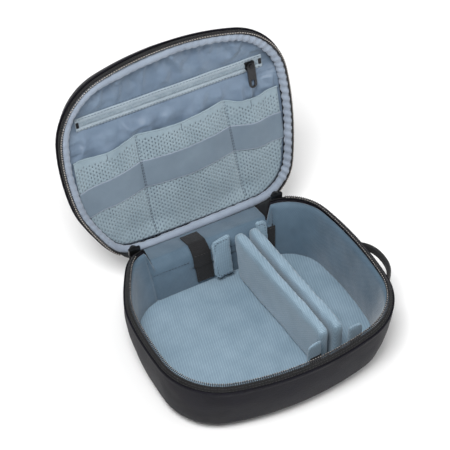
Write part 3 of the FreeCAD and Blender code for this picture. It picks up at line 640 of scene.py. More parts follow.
# Pale dots along the zipper coils: painted highlights standing in for the glints on the coil's teeth.
PAINTED_COIL_GLINT = woven("painted_coil_glint_dots", linear(196, 188, 178), linear(218, 210, 200), 0.0006, 30,
                    0.6, 0.1)
BLUE_COIL = moulded_plastic("pocket_coil_nylon", linear(134, 150, 162), linear(160, 174, 184), 0.45)
THREAD = woven("dark_thread", linear(40, 52, 68), linear(62, 76, 94), 0.0006, 30, 0.7, 0.2)
BLACK_THREAD = woven("black_thread", linear(18, 18, 20), linear(34, 34, 37), 0.0006, 30, 0.7, 0.2)
PULL = moulded_plastic("pull_plastic", linear(20, 20, 22), linear(32, 32, 35), 0.4)
METAL = painted_metal()
BOARD = plain_board()
HOOK = loop_pile()


# ---------------------------------------------------------------- base
def rear_top(u, high):
    """Height of the base's wall top: lower across the hinge."""
    spot = BASE.flat(u, 0.0, high)
    t = ease((np.abs(spot[..., 0]) - (NOTCH_HALF - 3)) / 6.0)
    return np.where(spot[..., 1] > 60, NOTCH_FLOOR + (high - NOTCH_FLOOR) * t, high)


def notched(u, heights, top):
    """Heights pressed down so that the wall ends at the notch."""
    start = 36.0
    limit = rear_top(u, top)[:, None]
    return np.where(heights > start, start + (heights - start) * (limit - start) / (top - start),
                    heights)


def rim_step(x, rear=True):
    """Step of the base's rim nearest to a place across, on its rear or its front side."""
    off_side = (BASE.high[:, 1] > 0) != rear
    return int(np.argmin(np.abs(BASE.high[:, 0] - x) + off_side * 900))


def make_base_shell():
    u = u_range()
    around = np.linspace(0, math.pi / 2, 8)
    insets = list(15 * (1 - np.sin(around)))
    heights = list(15 * (1 - np.cos(around)))
    for z in np.linspace(18, 60.5, 16):
        insets.append(-1.5 * math.sin(math.pi * (z - 15) / 46))
        heights.append(z)
    for a in np.linspace(0, math.pi, 7):
        insets.append(1.7 - 2.0 * math.cos(a))
        heights.append(61.0 + 1.6 * math.sin(a))
    insets += [3.9, 3.9]
    heights += [40.0, 8.0]
    insets = np.repeat(np.array(insets)[None], COUNT, 0)
    heights = notched(u, np.repeat(np.array(heights)[None], COUNT, 0), 62.6)
    where = BASE.flat(u[:, None], 0.0, heights)
    outer = np.arange(insets.shape[1]) < 24
    ripple = noisy(where, 34.0, 1.0) * 0.7 + noisy(where, 13.0, 2.0) * 0.25
    fade = np.clip((heights - 6) / 14, 0, 1)
    insets = insets + ripple * fade * outer
    shape = sweep(BASE, u, insets, heights, closed_section=False)
    first = BASE.at(u, 15.0, 0.0)
    last = BASE.at(u, 3.9, 8.0)
    bottom = np.stack([first, first * [0.6, 0.6, 1] + [0, 2.4, 0],
                       first * [0.25, 0.25, 1] + [0, 4.5, 0]], 1)
    shape += grid(bottom, close_u=True) + cap(bottom[:, -1], True)
    inside = np.stack([last, last * [0.6, 0.6, 1] + [0, 2.4, 0]], 1)
    shape += grid(inside, close_u=True, flip=True) + cap(inside[:, -1])
    piece("case_wall", shape, SHELL, "base", ["base_shell"])


def make_welt(name, wall, u, inset, z, radius, body):
    path = wall.at(u, inset, z)
    whole = abs((u[1] - u[0]) * len(u) - COUNT) < 1e-6
    piece(name, tube(path, radius, closed=whole), SHELL, body)


def tooth():
    """One turn of a zipper coil: across is x, up is z."""
    path = np.array([(0.0, 0, 0.25), (0.1, 0.1, 0.95), (0.9, 0.2, 1.25), (2.0, 0.2, 1.25),
                     (2.75, 0.05, 0.95), (2.9, -0.1, 0.45), (2.2, -0.25, 0.1), (0.8, -0.2, 0.05)])
    return tube(path, np.array([0.3, 0.4, 0.42, 0.46, 0.52, 0.46, 0.36, 0.25]), sides=6)


def coil(wall, inset, z, up):
    """Teeth round one half of the main zipper; up is +1 or -1 along the case's height."""
    pitch = 1.9
    u = u_range(TRACK_END)
    total = (u[-1] - u[0]) * STEP
    spots = np.linspace(u[0] + 1, u[-1] - 1, int(total / pitch))
    here = wall.flat(spots, inset, z)
    across = unit(wall.flat(spots, inset + 1.0, z) - here)
    ahead = unit(wall.flat(spots + 0.4, inset, z) - here)
    rise = np.zeros_like(here)
    rise[:, 2] = up
    if wall.lid:
        zero = lid_to_world(np.zeros((1, 3)))
        here = lid_to_world(here)
        across, ahead, rise = (lid_to_world(v) - zero for v in (across, ahead, rise))
    return scatter(tooth(), here, np.stack([across, ahead, rise], 1))


def make_zipper(prefix, wall, body, seam, edge, coil_z, up):
    """Tape, its bound edge and coil on one half of the main zipper, and pale dots painted on the coil
    as its highlights.
    """
    u = u_range(TRACK_END)
    seam_in, edge_in = (1.6, 0.6) if wall.lid else (1.0, 3.4)
    levels = np.linspace(0, 1, 7)
    wave = noisy(np.stack([u * STEP, 0 * u], 1), 22.0, 5.0)[:, None] * 0.25
    lean = seam_in + (edge_in - seam_in) * levels ** 1.3
    outer = lean[None] + wave
    inner = outer[:, ::-1] + 0.9
    insets = np.concatenate([outer, inner], 1)
    rows = seam + (edge - seam) * levels
    heights = np.r_[rows, rows[::-1]]
    tape = sweep(wall, u, insets, heights)
    piece(prefix + "_tape", tape, TAPE, body, [prefix + "_zipper_tape"])
    piece(prefix + "_coil", coil(wall, edge_in + 0.2, coil_z, up), COIL, body,
          [prefix + "_zipper_coil"])
    # Pale dots painted along the coil as its highlights: larger and brighter on the lid, smaller and
    # dimmer on the base.
    dots, depth, thick = ((edge_in + 1.2, edge - 2.0, 0.42) if wall.lid
                          else (edge_in + 2.6, coil_z + 1.3, 0.26))
    path = wall.at(u, dots, depth)
    lift = wall.at(u, dots, depth + up) - path
    piece(prefix + "_coil_thread", stitches(path, lift, 2.4, 1.2, thick), PAINTED_COIL_GLINT, body)
    for place, level in (("low", 0.3), ("high", 0.72)):
        inset = seam_in + (edge_in - seam_in) * level ** 1.3 - 0.1
        path = wall.at(u, inset, seam + (edge - seam) * level)
        lift = wall.at(u, inset - 1, seam + (edge - seam) * level) - path
        piece("%s_tape_stitch_%s" % (prefix, place), stitches(path, lift, 2.8, 1.9, 0.22),
              BLACK_THREAD, body)


def make_base_lining():
    """Foam-backed inner wall: soft bulges, creased corners and a rolled top edge."""
    u = u_range()
    z = np.r_[np.linspace(8.0, 54.0, 22), 57.0, 59.2, 60.6, 61.4]
    full = np.r_[np.linspace(7.2, 6.6, 22), 6.8, 6.6, 6.0, 4.9]
    bulge = np.sin(np.clip((z - 9) / 52, 0, 1) * math.pi) ** 0.7 * 2.4
    across = BASE.high[:, :1]
    held = sum(np.exp(-((across - x) / 12) ** 4) for x in STRIP_PLACES)
    held = 0.85 * held * (np.abs(BASE.high[:, 1:2]) > 55)
    heights = np.repeat(z[None], COUNT, 0)
    where = BASE.flat(u[:, None], 0.0, heights)
    soft = 1 + 0.55 * noisy(where, 30.0, 7.0)
    insets = full[None] + (bulge[None] * soft + noisy(where, 9.0, 8.0) * 0.3) * (1 - held)
    run = u[:, None] * STEP
    for place in (64.0, -64.0):
        away = np.abs(run - rim_step(place) * STEP)
        insets = insets - 1.3 * np.exp(-(away / 1.6) ** 2) * np.clip((61.5 - heights) / 6, 0, 1)
    back = np.full_like(heights, 4.2)
    insets = np.concatenate([insets, back[:, ::-1]], 1)
    heights = np.concatenate([heights, heights[:, ::-1]], 1)
    heights = notched(u, heights, 61.5)
    shape = sweep(BASE, u, insets, heights)
    made = piece("inner_wall", shape, LINING, "base", ["base_lining"])
    for side, sign in (("left", -1), ("right", 1)):
        center = float(rim_step(sign * 64.0))
        rows = np.linspace(12, 56, 40)
        path = BASE.at(center, 6.6, rows)
        lift = BASE.at(center, 9.0, rows) - path
        piece("corner_stitch_" + side, stitches(path, lift, 3.0, 2.0, 0.25), THREAD, "base")


def make_floor_pad():
    u = u_range()
    rows = []
    for share in (1.0, 0.985, 0.96, 0.9, 0.8, 0.65, 0.45, 0.25, 0.1):
        edge = BASE.flat(u, 5.2, 9.6)
        spot = edge * [share, share, 1] + [0, 13 * (1 - share), 0]
        drop = 1.2 * max(0.0, (share - 0.93) / 0.07) ** 2
        spot[:, 2] = 9.7 - drop + noisy(spot, 30.0, 11.0) * 0.4 + noisy(spot, 11.0, 12.0) * 0.15
        rows.append(spot)
    lower = rows[0].copy()
    lower[:, 2] = 5.6
    top = np.stack([lower] + rows, 1)
    shape = grid(top, close_u=True, flip=True) + cap(top[:, -1]) + cap(lower, True)
    made = piece("floor_cushion", shape, PAD, "base", ["base_floor_pad"])


def turned(points, side):
    """Turns a divider's points a little about the divider's own middle."""
    center = np.array([DIVIDERS[side][0], DIVIDER_MIDDLE, 0.0])
    c, s = math.cos(DIVIDER_TURN), math.sin(DIVIDER_TURN)
    return (points - center) @ np.array([[c, s, 0], [-s, c, 0], [0, 0, 1]]) + center


def divider_end(end, z):
    """Place of a divider's end; the rear one leans with the wall behind it."""
    return DIVIDER_FRONT + 0 * z if end == "front" else DIVIDER_BACK + REAR_LEAN * (z - FLAP_LOW)


def round_corners(corners, radii):
    """A closed outline with its corners rounded."""
    out = []
    for index, spot in enumerate(corners):
        spot = np.array(spot, float)
        sides = unit(np.array([corners[index - 1], corners[(index + 1) % len(corners)]]) - spot)
        start, end = spot + sides * radii[index]
        for t in np.linspace(0, 1, 6):
            out.append(start * (1 - t) ** 2 + spot * 2 * t * (1 - t) + end * t ** 2)
    return np.array(out)


def make_divider_pad(side):
    center = DIVIDERS[side][0]
    half, end_gap = 4.2, 0.5
    low, high = DIVIDER_LOW + 0.3, DIVIDER_TOP - 0.4
    front = DIVIDER_FRONT + end_gap
    spots = round_corners([(front, low), (divider_end("rear", low) - end_gap, low),
                           (divider_end("rear", high) - end_gap, high), (front, high)],
                          (2, 2, 7, 8))
    block = slab(spots, center - half, center + half, lambda p: turned(p[:, [1, 0, 2]], side))
    puffed("divider_pad_" + side, block, 3.4, PAD, "divider_" + side,
           ["divider_" + side], 2.4, 0.9, 20.0 + center)


def flap_point(side, end, away, x, z):
    """A point of a flap: away from the divider's end, x from its root, at a height."""
    center, sign = DIVIDERS[side]
    out = 1 if end == "rear" else -1
    y = divider_end(end, z) + out * away
    return turned(np.stack([center + sign * (5.4 + x), y, z], -1), side)


def make_flap(side, end):
    """End flap with its free corners rounded, a seam round it and its hook patch behind."""
    length = FLAP_LENGTHS[end, side]
    root, near, far, patch_face = 0.9, 1.5, 4.5, 5.4
    seam, seam_root = 2.6, 1.6
    node = "divider_%s_%s_flap" % (side, end)
    spots = round_corners([(root, FLAP_LOW), (length, FLAP_LOW), (length, FLAP_TOP),
                           (root, FLAP_TOP)], (1, 7, 7, 1))
    block = slab(spots, near, far, lambda p: flap_point(side, end, p[:, 1], p[:, 0], p[:, 2]))
    puffed("flap_pad_%s_%s" % (side, end), block, 1.2, PAD, node, [node], 1.5,
           0.8, 31.0 + length)
    inner = round_corners([(seam_root, FLAP_LOW + seam), (length - seam, FLAP_LOW + seam),
                           (length - seam, FLAP_TOP - seam), (seam_root, FLAP_TOP - seam)],
                          (1, 5, 5, 1))
    line = flap_point(side, end, near - 0.3, inner[:, 0], inner[:, 1])
    lift = flap_point(side, end, near - 1.3, inner[:, 0], inner[:, 1]) - line
    piece("flap_stitch_%s_%s" % (side, end), stitches(line, lift, 3.0, 2.0, 0.24), THREAD, node)
    xs, zs = np.linspace(2.0, length - 2.0, 12), np.linspace(20, 42, 20)
    gx, gz = np.meshgrid(xs, zs, indexing="ij")
    rim = np.minimum(np.minimum(gx - xs[0], xs[-1] - gx), np.minimum(gz - zs[0], zs[-1] - gz))
    rough = noisy(np.stack([gx, gz], -1), 1.5, 3.0) * 0.1
    face = flap_point(side, end, patch_face - 0.5 * np.exp(-rim / 0.5) + rough, gx, gz)
    back = flap_point(side, end, far + 0 * gx, gx, gz)
    outward = (DIVIDERS[side][1] > 0) == (end == "rear")
    piece("hook_patch_%s_%s" % (side, end), grid(face, flip=outward) + grid(back, flip=not outward),
          HOOK, node, ["hook_%s_%s" % (side, end)])


def make_dividers():
    for side, (center, sign) in DIVIDERS.items():
        make_divider_pad(side)
        for end in ("rear", "front"):
            make_flap(side, end)
        z = np.linspace(DIVIDER_LOW + 4, DIVIDER_TOP - 8, 26)
        for row, y in (("a", DIVIDER_FRONT + 4.5), ("b", DIVIDER_FRONT + 6.5)):
            line = turned(np.stack([0 * z + center + sign * 4.6, 0 * z + y, z], -1), side)
            lift = turned(line + [sign, 0, 0], side) - turned(line, side)
            piece("divider_stitch_%s_%s" % (side, row), stitches(line, lift, 3.0, 2.0, 0.26), THREAD,
                  "divider_" + side)


# ---------------------------------------------------------------- lid
def make_lid_shell():
    u = u_range()
    insets, heights = [3.9, 3.9], [24.0, 9.0]
    for a in np.linspace(math.pi, 0, 7):
        insets.append(2.6 - 1.2 * math.cos(a))
        heights.append(8.2 - 1.4 * math.sin(a))
    for z in np.linspace(9.0, 17.5, 6):
        insets.append(1.2 + 1.8 * ((z - 8) / 10) ** 2)
        heights.append(z)
    around = np.linspace(0, math.pi / 2, 9)
    insets += list(3 + 12 * (1 - np.cos(around)))
    heights += list(18 + 14 * np.sin(around))
    insets = np.repeat(np.array(insets)[None], COUNT, 0)
    heights = np.repeat(np.array(heights)[None], COUNT, 0)
    where = LID.flat(u[:, None], 0.0, heights)
    outer = np.arange(insets.shape[1]) > 8
    insets = insets + (noisy(where, 34.0, 21.0) * 0.6 + noisy(where, 13.0, 22.0) * 0.25) * outer
    points = LID.flat(u[:, None], insets, heights)
    top = points[:, -1]
    rings = [top]
    for share in (0.93, 0.8, 0.6, 0.4, 0.2, 0.08):
        ring = top * [share, share, 1] + [0, 12 * (1 - share), 0]
        ring[:, 2] = LID_DEPTH + noisy(ring, 40.0, 23.0) * 0.4
        rings.append(ring)
    crown = np.stack(rings, 1)
    inner = points[:, 0]
    floor = np.stack([inner, inner * [0.6, 0.6, 0] + [0, 4.8, 27.5]], 1)
    side = grid(points, close_u=True)
    shape = Shape(lid_to_world(points), side.faces, side.uv)
    shape += grid(lid_to_world(crown), close_u=True) + cap(lid_to_world(crown[:, -1]))
    shape += grid(lid_to_world(floor), close_u=True, flip=True) + cap(lid_to_world(floor[:, -1]), True)
    piece("lid_cover", shape, SHELL, "lid", ["lid_shell"])


def piping_inset(u):
    """How far the soft piping wanders from its even line."""
    spot = LID.flat(u, 0.0, 0.0)
    x, y = spot[..., 0], spot[..., 1]
    front = np.exp(-((x + 25) / 42) ** 2) * (y < 0)
    right = np.clip((x - 70) / 35, 0, 1) * np.clip((y + 50) / 40, 0, 1)
    left = np.clip((-x - 60) / 40, 0, 1)
    hinge = np.exp(-((x + 40) / 32) ** 2) * (y > 60)
    return 6.6 + 2.0 * front - 1.8 * right - 0.8 * left - 2.0 * hinge


def make_piping():
    """Gathered padded piping round the lid's mouth."""
    u = u_range(per=3)
    run = u * STEP
    angle = np.linspace(0, TAU, 18, endpoint=False)[None]
    drift = noisy(np.stack([run, 0 * run], 1), 26.0, 31.0)
    fine = noisy(np.stack([run, 0 * run], 1), 7.0, 32.0)
    phase = TAU * run / 7.4 + 2.6 * drift
    crease = np.sin(phase[:, None] + 0.9 * np.sin(angle + 0.6))
    crease = np.sign(crease) * np.abs(crease) ** 0.7
    spot = LID.flat(u, 0.0, 0.0)
    busy = 0.45 + 0.55 * np.clip((spot[:, 0] + 20) / 90, 0, 1)
    busy = busy * np.where(spot[:, 1] > 90, 0.35, 1)
    radius = 3.7 * (1 + 0.12 * crease * busy[:, None] + 0.11 * fine[:, None])
    center = piping_inset(u) + 0.6 * drift
    held = 2.8 + 1.0 * (spot[:, 1:2] > 90)
    insets = np.maximum(center[:, None] + radius * 1.06 * np.cos(angle), held)
    heights = 3.9 + radius * 0.95 * np.sin(angle) + 0.3 * fine[:, None]
    points = LID.at(u[:, None], insets, heights)
    shape = grid(points, close_u=True, close_v=True)
    made = piece("lid_piping_roll", shape, PIPING, "lid", ["lid_piping"])
    path = LID.at(u, center + 4.1, 5.9)
    lift = LID.at(u, center + 4.1, 3.9) - path
    piece("piping_stitch", stitches(path, lift, 3.6, 2.4, 0.32), THREAD, "lid")


def lid_edges(inset):
    """Front and rear limits of the lid's inside at an inset, as functions of x."""
    loop = LID.flat(np.arange(COUNT), inset, 10.0)
    front = loop[loop[:, 1] < WIDEST]
    rear = loop[loop[:, 1] >= WIDEST]
    front, rear = front[np.argsort(front[:, 0])], rear[np.argsort(rear[:, 0])]
    reach = min(-front[0, 0], front[-1, 0], -rear[0, 0], rear[-1, 0]) - 0.2
    return (lambda x: np.interp(x, front[:, 0], front[:, 1]),
            lambda x: np.interp(x, rear[:, 0], rear[:, 1]), reach)


def edge_distance(x, y):
    """Distance inwards from the lid's rim, and the nearest step round it."""
    loop = LID.flat(np.arange(COUNT), 0.0, 10.0)[:, :2]
    flat = np.stack([x.ravel(), y.ravel()], 1)
    best = np.full(len(flat), 1e9)
    near = np.zeros(len(flat))
    for index in range(0, COUNT, 2):
        away = np.linalg.norm(flat - loop[index], axis=1)
        closer = away < best
        best[closer], near[closer] = away[closer], index
    return best.reshape(x.shape), near.reshape(x.shape)


def spread(reach, count):
    """Places across the lid, closer together towards the sides."""
    t = np.linspace(-1, 1, count)
    return reach * np.sin(t * math.pi / 2)


def make_panels():
    """Loose satin lining above and below the pocket's zipper."""
    front, rear, reach = lid_edges(7.6)
    xs = spread(reach, 190)
    for name, upper, node in (("satin_upper", True, ["lid_upper_panel", "lid_lining"]),
                              ("satin_lower", False, ["lid_lower_panel"])):
        share = np.linspace(0, 1, 70 if upper else 110)[None]
        near = front(xs)[:, None] if upper else np.full((len(xs), 1), ZIP_Y)
        far = np.full((len(xs), 1), ZIP_Y) if upper else rear(xs)[:, None]
        near = np.minimum(near, far)
        y = near + (far - near) * share
        x = np.repeat(xs[:, None], share.shape[1], 1)
        away, step = edge_distance(x, y)
        inside = np.clip(away - 7.6, 0, None)
        depth = 12.9 - 7.0 * np.exp(-inside / 7.5)
        flat = np.stack([x, y], -1)
        gather = noisy(np.stack([step * STEP, inside * 0.25], -1), 8.0, 41.0)
        flank = np.clip((np.abs(y - ZIP_Y) - 6) / 8, 0.0, 1)
        depth = depth * flank + 12.9 * (1 - flank)
        depth -= 3.4 * np.maximum(gather, -0.3) * np.exp(-((inside - 7) / 11) ** 2) * flank
        calm = np.clip(np.abs(y - ZIP_Y) / 12 - 0.55, 0.0, 1)
        fold = noisy(flat * [1.0, 0.38], 17.0, 42.0)
        sharp = 1 - np.abs(noisy(flat * [1.0, 0.45], 24.0, 44.0)) * 2.2
        depth -= (5.4 * np.abs(fold) ** 1.2 + 1.1 * noisy(flat, 8.0, 43.0)
                  + 3.4 * np.clip(sharp, 0, 1) ** 3) * calm * np.clip(inside / 8, 0, 1)
        if not upper:
            covered = np.clip((y - smooth_line(POCKET_TOP, x) + 6) / 8, 0, 1)
            behind = np.maximum(depth, pocket_depth(x, y) + 1.2)
            depth = depth * (1 - covered) + behind * covered
        points = np.stack([x, y, depth], -1)
        shape = grid(lid_to_world(slacken(settle(points, 0.0))))
        made = piece(name, shape, SATIN, "lid", node)
        made.modifiers.new("cloth", "SOLIDIFY").thickness = 0.4 * MM


def strip_path(start, end, count, depth):
    x = np.linspace(start[0], end[0], count)
    y = np.linspace(start[1], end[1], count)
    return lid_to_world(np.stack([x, y, np.full(count, depth)], -1))


def lid_axes():
    """World directions of the lid's across, towards the hinge, and out of the mouth."""
    zero = lid_to_world(np.zeros(3))
    return [lid_to_world(np.array(v, float)) - zero for v in ((1, 0, 0), (0, 1, 0), (0, 0, -1))]


def make_pocket_zip():
    across, down, out = lid_axes()
    xs = np.linspace(-ZIP_HALF, ZIP_HALF, 150)
    half = 6.2
    ys = np.array([-half, -half + 0.15, -half + 0.6, -4.4, -3.0, -2.2, -1.6, 1.6, 2.2, 3.0, 4.4,
                   half - 0.6, half - 0.15, half])
    lifts = np.array([-0.7, -0.2, 0.25, 0.3, 0.3, 0.1, -0.4, -0.4, 0.1, 0.3, 0.3, 0.25, -0.2, -0.7])
    gx, gy = np.meshgrid(xs, ys, indexing="ij")
    wave = noisy(np.stack([gx, gy * 0.5], -1), 20.0, 51.0) * 0.5
    points = np.stack([gx, ZIP_Y + gy + wave * 0.4, 11.5 - lifts[None] - wave * 0.6], -1)
    piece("pocket_tape", grid(lid_to_world(points)), POCKET_TAPE, "lid",
          ["pocket_zipper_tape"])
    spots = np.arange(-86, 86, 1.45)
    centers = np.stack([spots, np.full(len(spots), ZIP_Y - 1.75), np.full(len(spots), 12.0)], -1)
    template = tooth()
    template.points = template.points * [1.2, 1.0, 0.85]
    axes = np.repeat(np.stack([down, across, out])[None], len(spots), 0)
    piece("pocket_coil", scatter(template, lid_to_world(centers), axes), BLUE_COIL, "lid",
          ["pocket_zipper_coil"])
    for name, y, depth in (("outer_upper", -half - 0.9, 12.5), ("inner_upper", -4.9, 11.15),
                           ("inner_lower", 4.9, 11.15), ("outer_lower", half + 0.9, 12.5)):
        path = strip_path((-ZIP_HALF, ZIP_Y + y), (ZIP_HALF, ZIP_Y + y), 60, depth)
        piece("pocket_stitch_" + name, stitches(path, out, 3.0, 1.9, 0.22), THREAD, "lid")


POCKET_TOP = ((-100, 0.0), (-92, -0.5), (-66, 0.5), (-38, -5.0), (5, -4.6), (48, -8.0), (62, -1.8),
              (80, -1.6), (100, -5.5))
BAND_TOP = ((-100, 31.0), (-95, 30.0), (-60, 25.5), (-37, 22.5), (5, 21.5), (50, 19.8), (75, 23.5),
            (100, 21.0))
BAND_BOTTOM = ((-100, 57.0), (-95, 56.0), (-60, 51.5), (-36.5, 48.5), (5, 48.0), (52, 45.0),
               (75, 49.0), (100, 46.5))


def smooth_line(table, x):
    """A gently rounded line through a short table of places."""
    xs, ys = np.array(table, float).T
    out = np.zeros_like(x)
    for shift, weight in ((-5, 0.2), (-2.5, 0.2), (0, 0.2), (2.5, 0.2), (5, 0.2)):
        out += weight * np.interp(x + shift, xs, ys)
    return out


def stitch_x(line, y):
    top, bottom = STITCH_LINES[line]
    return top + (bottom - top) * np.clip((y + 8) / 105, 0, 1)


def pocket_share(x, y):
    """Where a point is across its own pocket, from 0 to 1, and which pocket."""
    left, right = stitch_x(0, y), stitch_x(1, y)
    edges = [np.full_like(y, -POCKET_SIDE), left, right, np.full_like(y, POCKET_SIDE)]
    share, which = np.zeros_like(x), np.zeros_like(x)
    for index in range(3):
        inside = (x >= edges[index]) & (x <= edges[index + 1])
        share = np.where(inside, (x - edges[index]) / (edges[index + 1] - edges[index]), share)
        which = np.where(inside, index, which)
    return np.clip(share, 0, 1), which


def pocket_depth(x, y):
    """Height of the mesh above the lid's closing plane."""
    share, which = pocket_share(x, y)
    fall = np.clip((y + 5) / 100, 0, 1)
    bulge = np.sin(math.pi * share) ** 0.7 * (np.where(which == 1, 6.6, 4.6) - 1.6 * fall ** 2)
    away, _ = edge_distance(x, y)
    t = ease((away - 9.2) / 15)
    depth = (11.7 - bulge) * t + 6.7 * (1 - t)
    flat = np.stack([x, y], -1)
    ripple = noisy(flat * [1.0, 0.35], 9.0, 61.0) * 0.55 + noisy(flat, 24.0, 62.0) * 0.8
    return depth + ripple * t * np.clip(bulge / 4, 0, 1)


def mesh_cloth():
    """The knit's own pattern: staggered cells, each round a long narrow hole."""
    width, height = 2.6, 4.0
    outer = [(0, 0), (0.5, 0), (1, 0), (1, 0.5), (1, 1), (0.5, 1), (0, 1), (0, 0.5)]
    hole = [(0.4, 0.31), (0.5, 0.25), (0.6, 0.31), (0.64, 0.5), (0.6, 0.69), (0.5, 0.75),
            (0.4, 0.69), (0.36, 0.5)]
    points, faces, plugs, spots = {}, [], [], []

    def index(x, y):
        key = (round(x * 20), round(y * 20))
        if key not in points:
            points[key] = len(spots)
            spots.append((x, y))
        return points[key]

    columns = int(2 * 99 / width)
    for column in range(columns):
        x = -99 + column * width
        start = -12 - (height / 2 if column % 2 else 0)
        for row in range(int(125 / height)):
            y = start + row * height
            ring = [index(x + a * width, y + b * height) for a, b in outer]
            inner = [index(x + a * width, y + b * height) for a, b in hole]
            plugs.append(tuple(inner))
            for k in range(8):
                n = (k + 1) % 8
                faces.append((ring[k], ring[n], inner[n], inner[k]))
    return np.array(spots), faces, plugs


def make_mesh():
    _, out = lid_axes()[1:]
    _, rear, reach = lid_edges(9.2)
    flat, faces, plugs = mesh_cloth()
    x, y = flat[:, 0].copy(), flat[:, 1].copy()
    top = smooth_line(POCKET_TOP, x)
    low = rear(x)
    x = np.clip(x, -reach, reach)
    keep = [f for f in faces
            if all(top[i] - 4.5 < y[i] < low[i] + 4.5 and abs(flat[i, 0]) < reach + 2.8 for i in f)]
    keep += [f for f in plugs
             if all(top[i] < y[i] < top[i] + 7.5 and abs(flat[i, 0]) < reach for i in f)]
    y = np.clip(y, top, np.maximum(low, top + 0.1))
    used = sorted({i for f in keep for i in f})
    place = {old: new for new, old in enumerate(used)}
    x, y = x[used], y[used]
    faces = [tuple(place[i] for i in f) for f in keep]
    points = np.stack([x, y, pocket_depth(x, y)], -1)
    uv = [[(x[i] * MM, y[i] * MM) for i in f] for f in faces]
    made = piece("mesh_cloth", Shape(lid_to_world(points), faces, uv), MESH, "lid",
                 ["mesh_pockets"])
    thick = made.modifiers.new("knit", "SOLIDIFY")
    thick.thickness, thick.offset = 0.5 * MM, 0
    for place, x in enumerate((-68.0, 3.0, 72.0)):
        top = float(smooth_line(POCKET_TOP, np.array([x]))[0])
        ys = np.linspace(top + 1.5, top + 8.5, 8)
        tack = np.stack([x + 0 * ys, ys, pocket_depth(x + 0 * ys, ys) - 0.4], -1)
        piece("mesh_tack_%d" % place, stitches(lid_to_world(tack), out, 1.6, 1.4, 0.26), THREAD,
              "lid")
    xs = np.linspace(-reach + 0.5, reach - 0.5, 260)
    ys = smooth_line(POCKET_TOP, xs)
    hem = np.stack([xs, ys + 0.6, pocket_depth(xs, ys) - 0.2], -1)
    piece("mesh_hem", tube(lid_to_world(hem), 0.6, sides=8), MESH, "lid")
    for line, (top_x, _) in enumerate(STITCH_LINES):
        first = float(smooth_line(POCKET_TOP, np.array([float(top_x)]))[0])
        ys = np.linspace(first + 1, float(rear(np.array([stitch_x(line, np.array(90.0))]))[0]) - 1, 120)
        xs = stitch_x(line, ys)
        band_top, band_bottom = (np.interp(xs, *np.array(edge).T) for edge in (BAND_TOP, BAND_BOTTOM))
        over_band = (ys > band_top) & (ys < band_bottom)
        path = np.stack([xs, ys, pocket_depth(xs, ys) - 0.6 - 1.2 * over_band], -1)
        for shift, side in ((-0.7, "a"), (0.7, "b")):
            piece("mesh_stitch_%d_%s" % (line, side),
                  stitches(lid_to_world(path + [shift, 0, 0]), out, 2.9, 2.0, 0.28), THREAD, "lid")


def make_band():
    """Elastic band sewn across the pockets, with rolled edges."""
    _, _, reach = lid_edges(9.6)
    xs = np.linspace(-reach + 0.3, reach - 0.3, 300)
    share = np.linspace(0, 1, 22)[None]
    top, bottom = smooth_line(BAND_TOP, xs), smooth_line(BAND_BOTTOM, xs)
    y = top[:, None] + (bottom - top)[:, None] * share
    x = np.repeat(xs[:, None], share.shape[1], 1)
    middle = y * 0.25 + 0.75 * ((top + bottom) / 2)[:, None]
    depth = np.minimum(pocket_depth(x, middle), pocket_depth(x, y)) - 1.1
    front = np.stack([x, y, depth], -1)
    made = piece("elastic_strap", grid(lid_to_world(front + [0, 0, 0.45])), ELASTIC, "lid",
                 ["elastic_band"])
    solid(made, 0.9)
    for name, column in (("top", 0), ("bottom", -1)):
        path = front[:, column] + [0, 0, 0.25]
        piece("elastic_edge_" + name, tube(lid_to_world(path), 0.45, sides=8), PIPING, "lid")


def gusset_profile(offset):
    """Section of the hinge cloth from inside the base's rear wall up into the lid."""
    base = [(91.8, 30.0), (92.4, 35.0), (93.6, 39.5), (95.6, 43.0), (98.6, 45.2), (101.4, 46.0)]
    lid = [(-22.0, 101.5), (-20.0, 101.6), (-17.0, 101.8), (-12.0, 102.3), (-7.0, 102.8),
           (-2.0, 103.3), (3.0, 103.8), (7.4, 104.2)]
    points = list(base)
    for z, y in lid:
        world = lid_to_world(np.array([0.0, y, z]))
        points.append((world[1], world[2]))
    line = np.array(points)
    run = run_along(line)
    line = read_along(np.linspace(0, run[-1], 34), run, line)
    ahead = unit(np.gradient(line, axis=0))
    normal = np.stack([-ahead[:, 1], ahead[:, 0]], 1)
    return line + normal * offset, normal


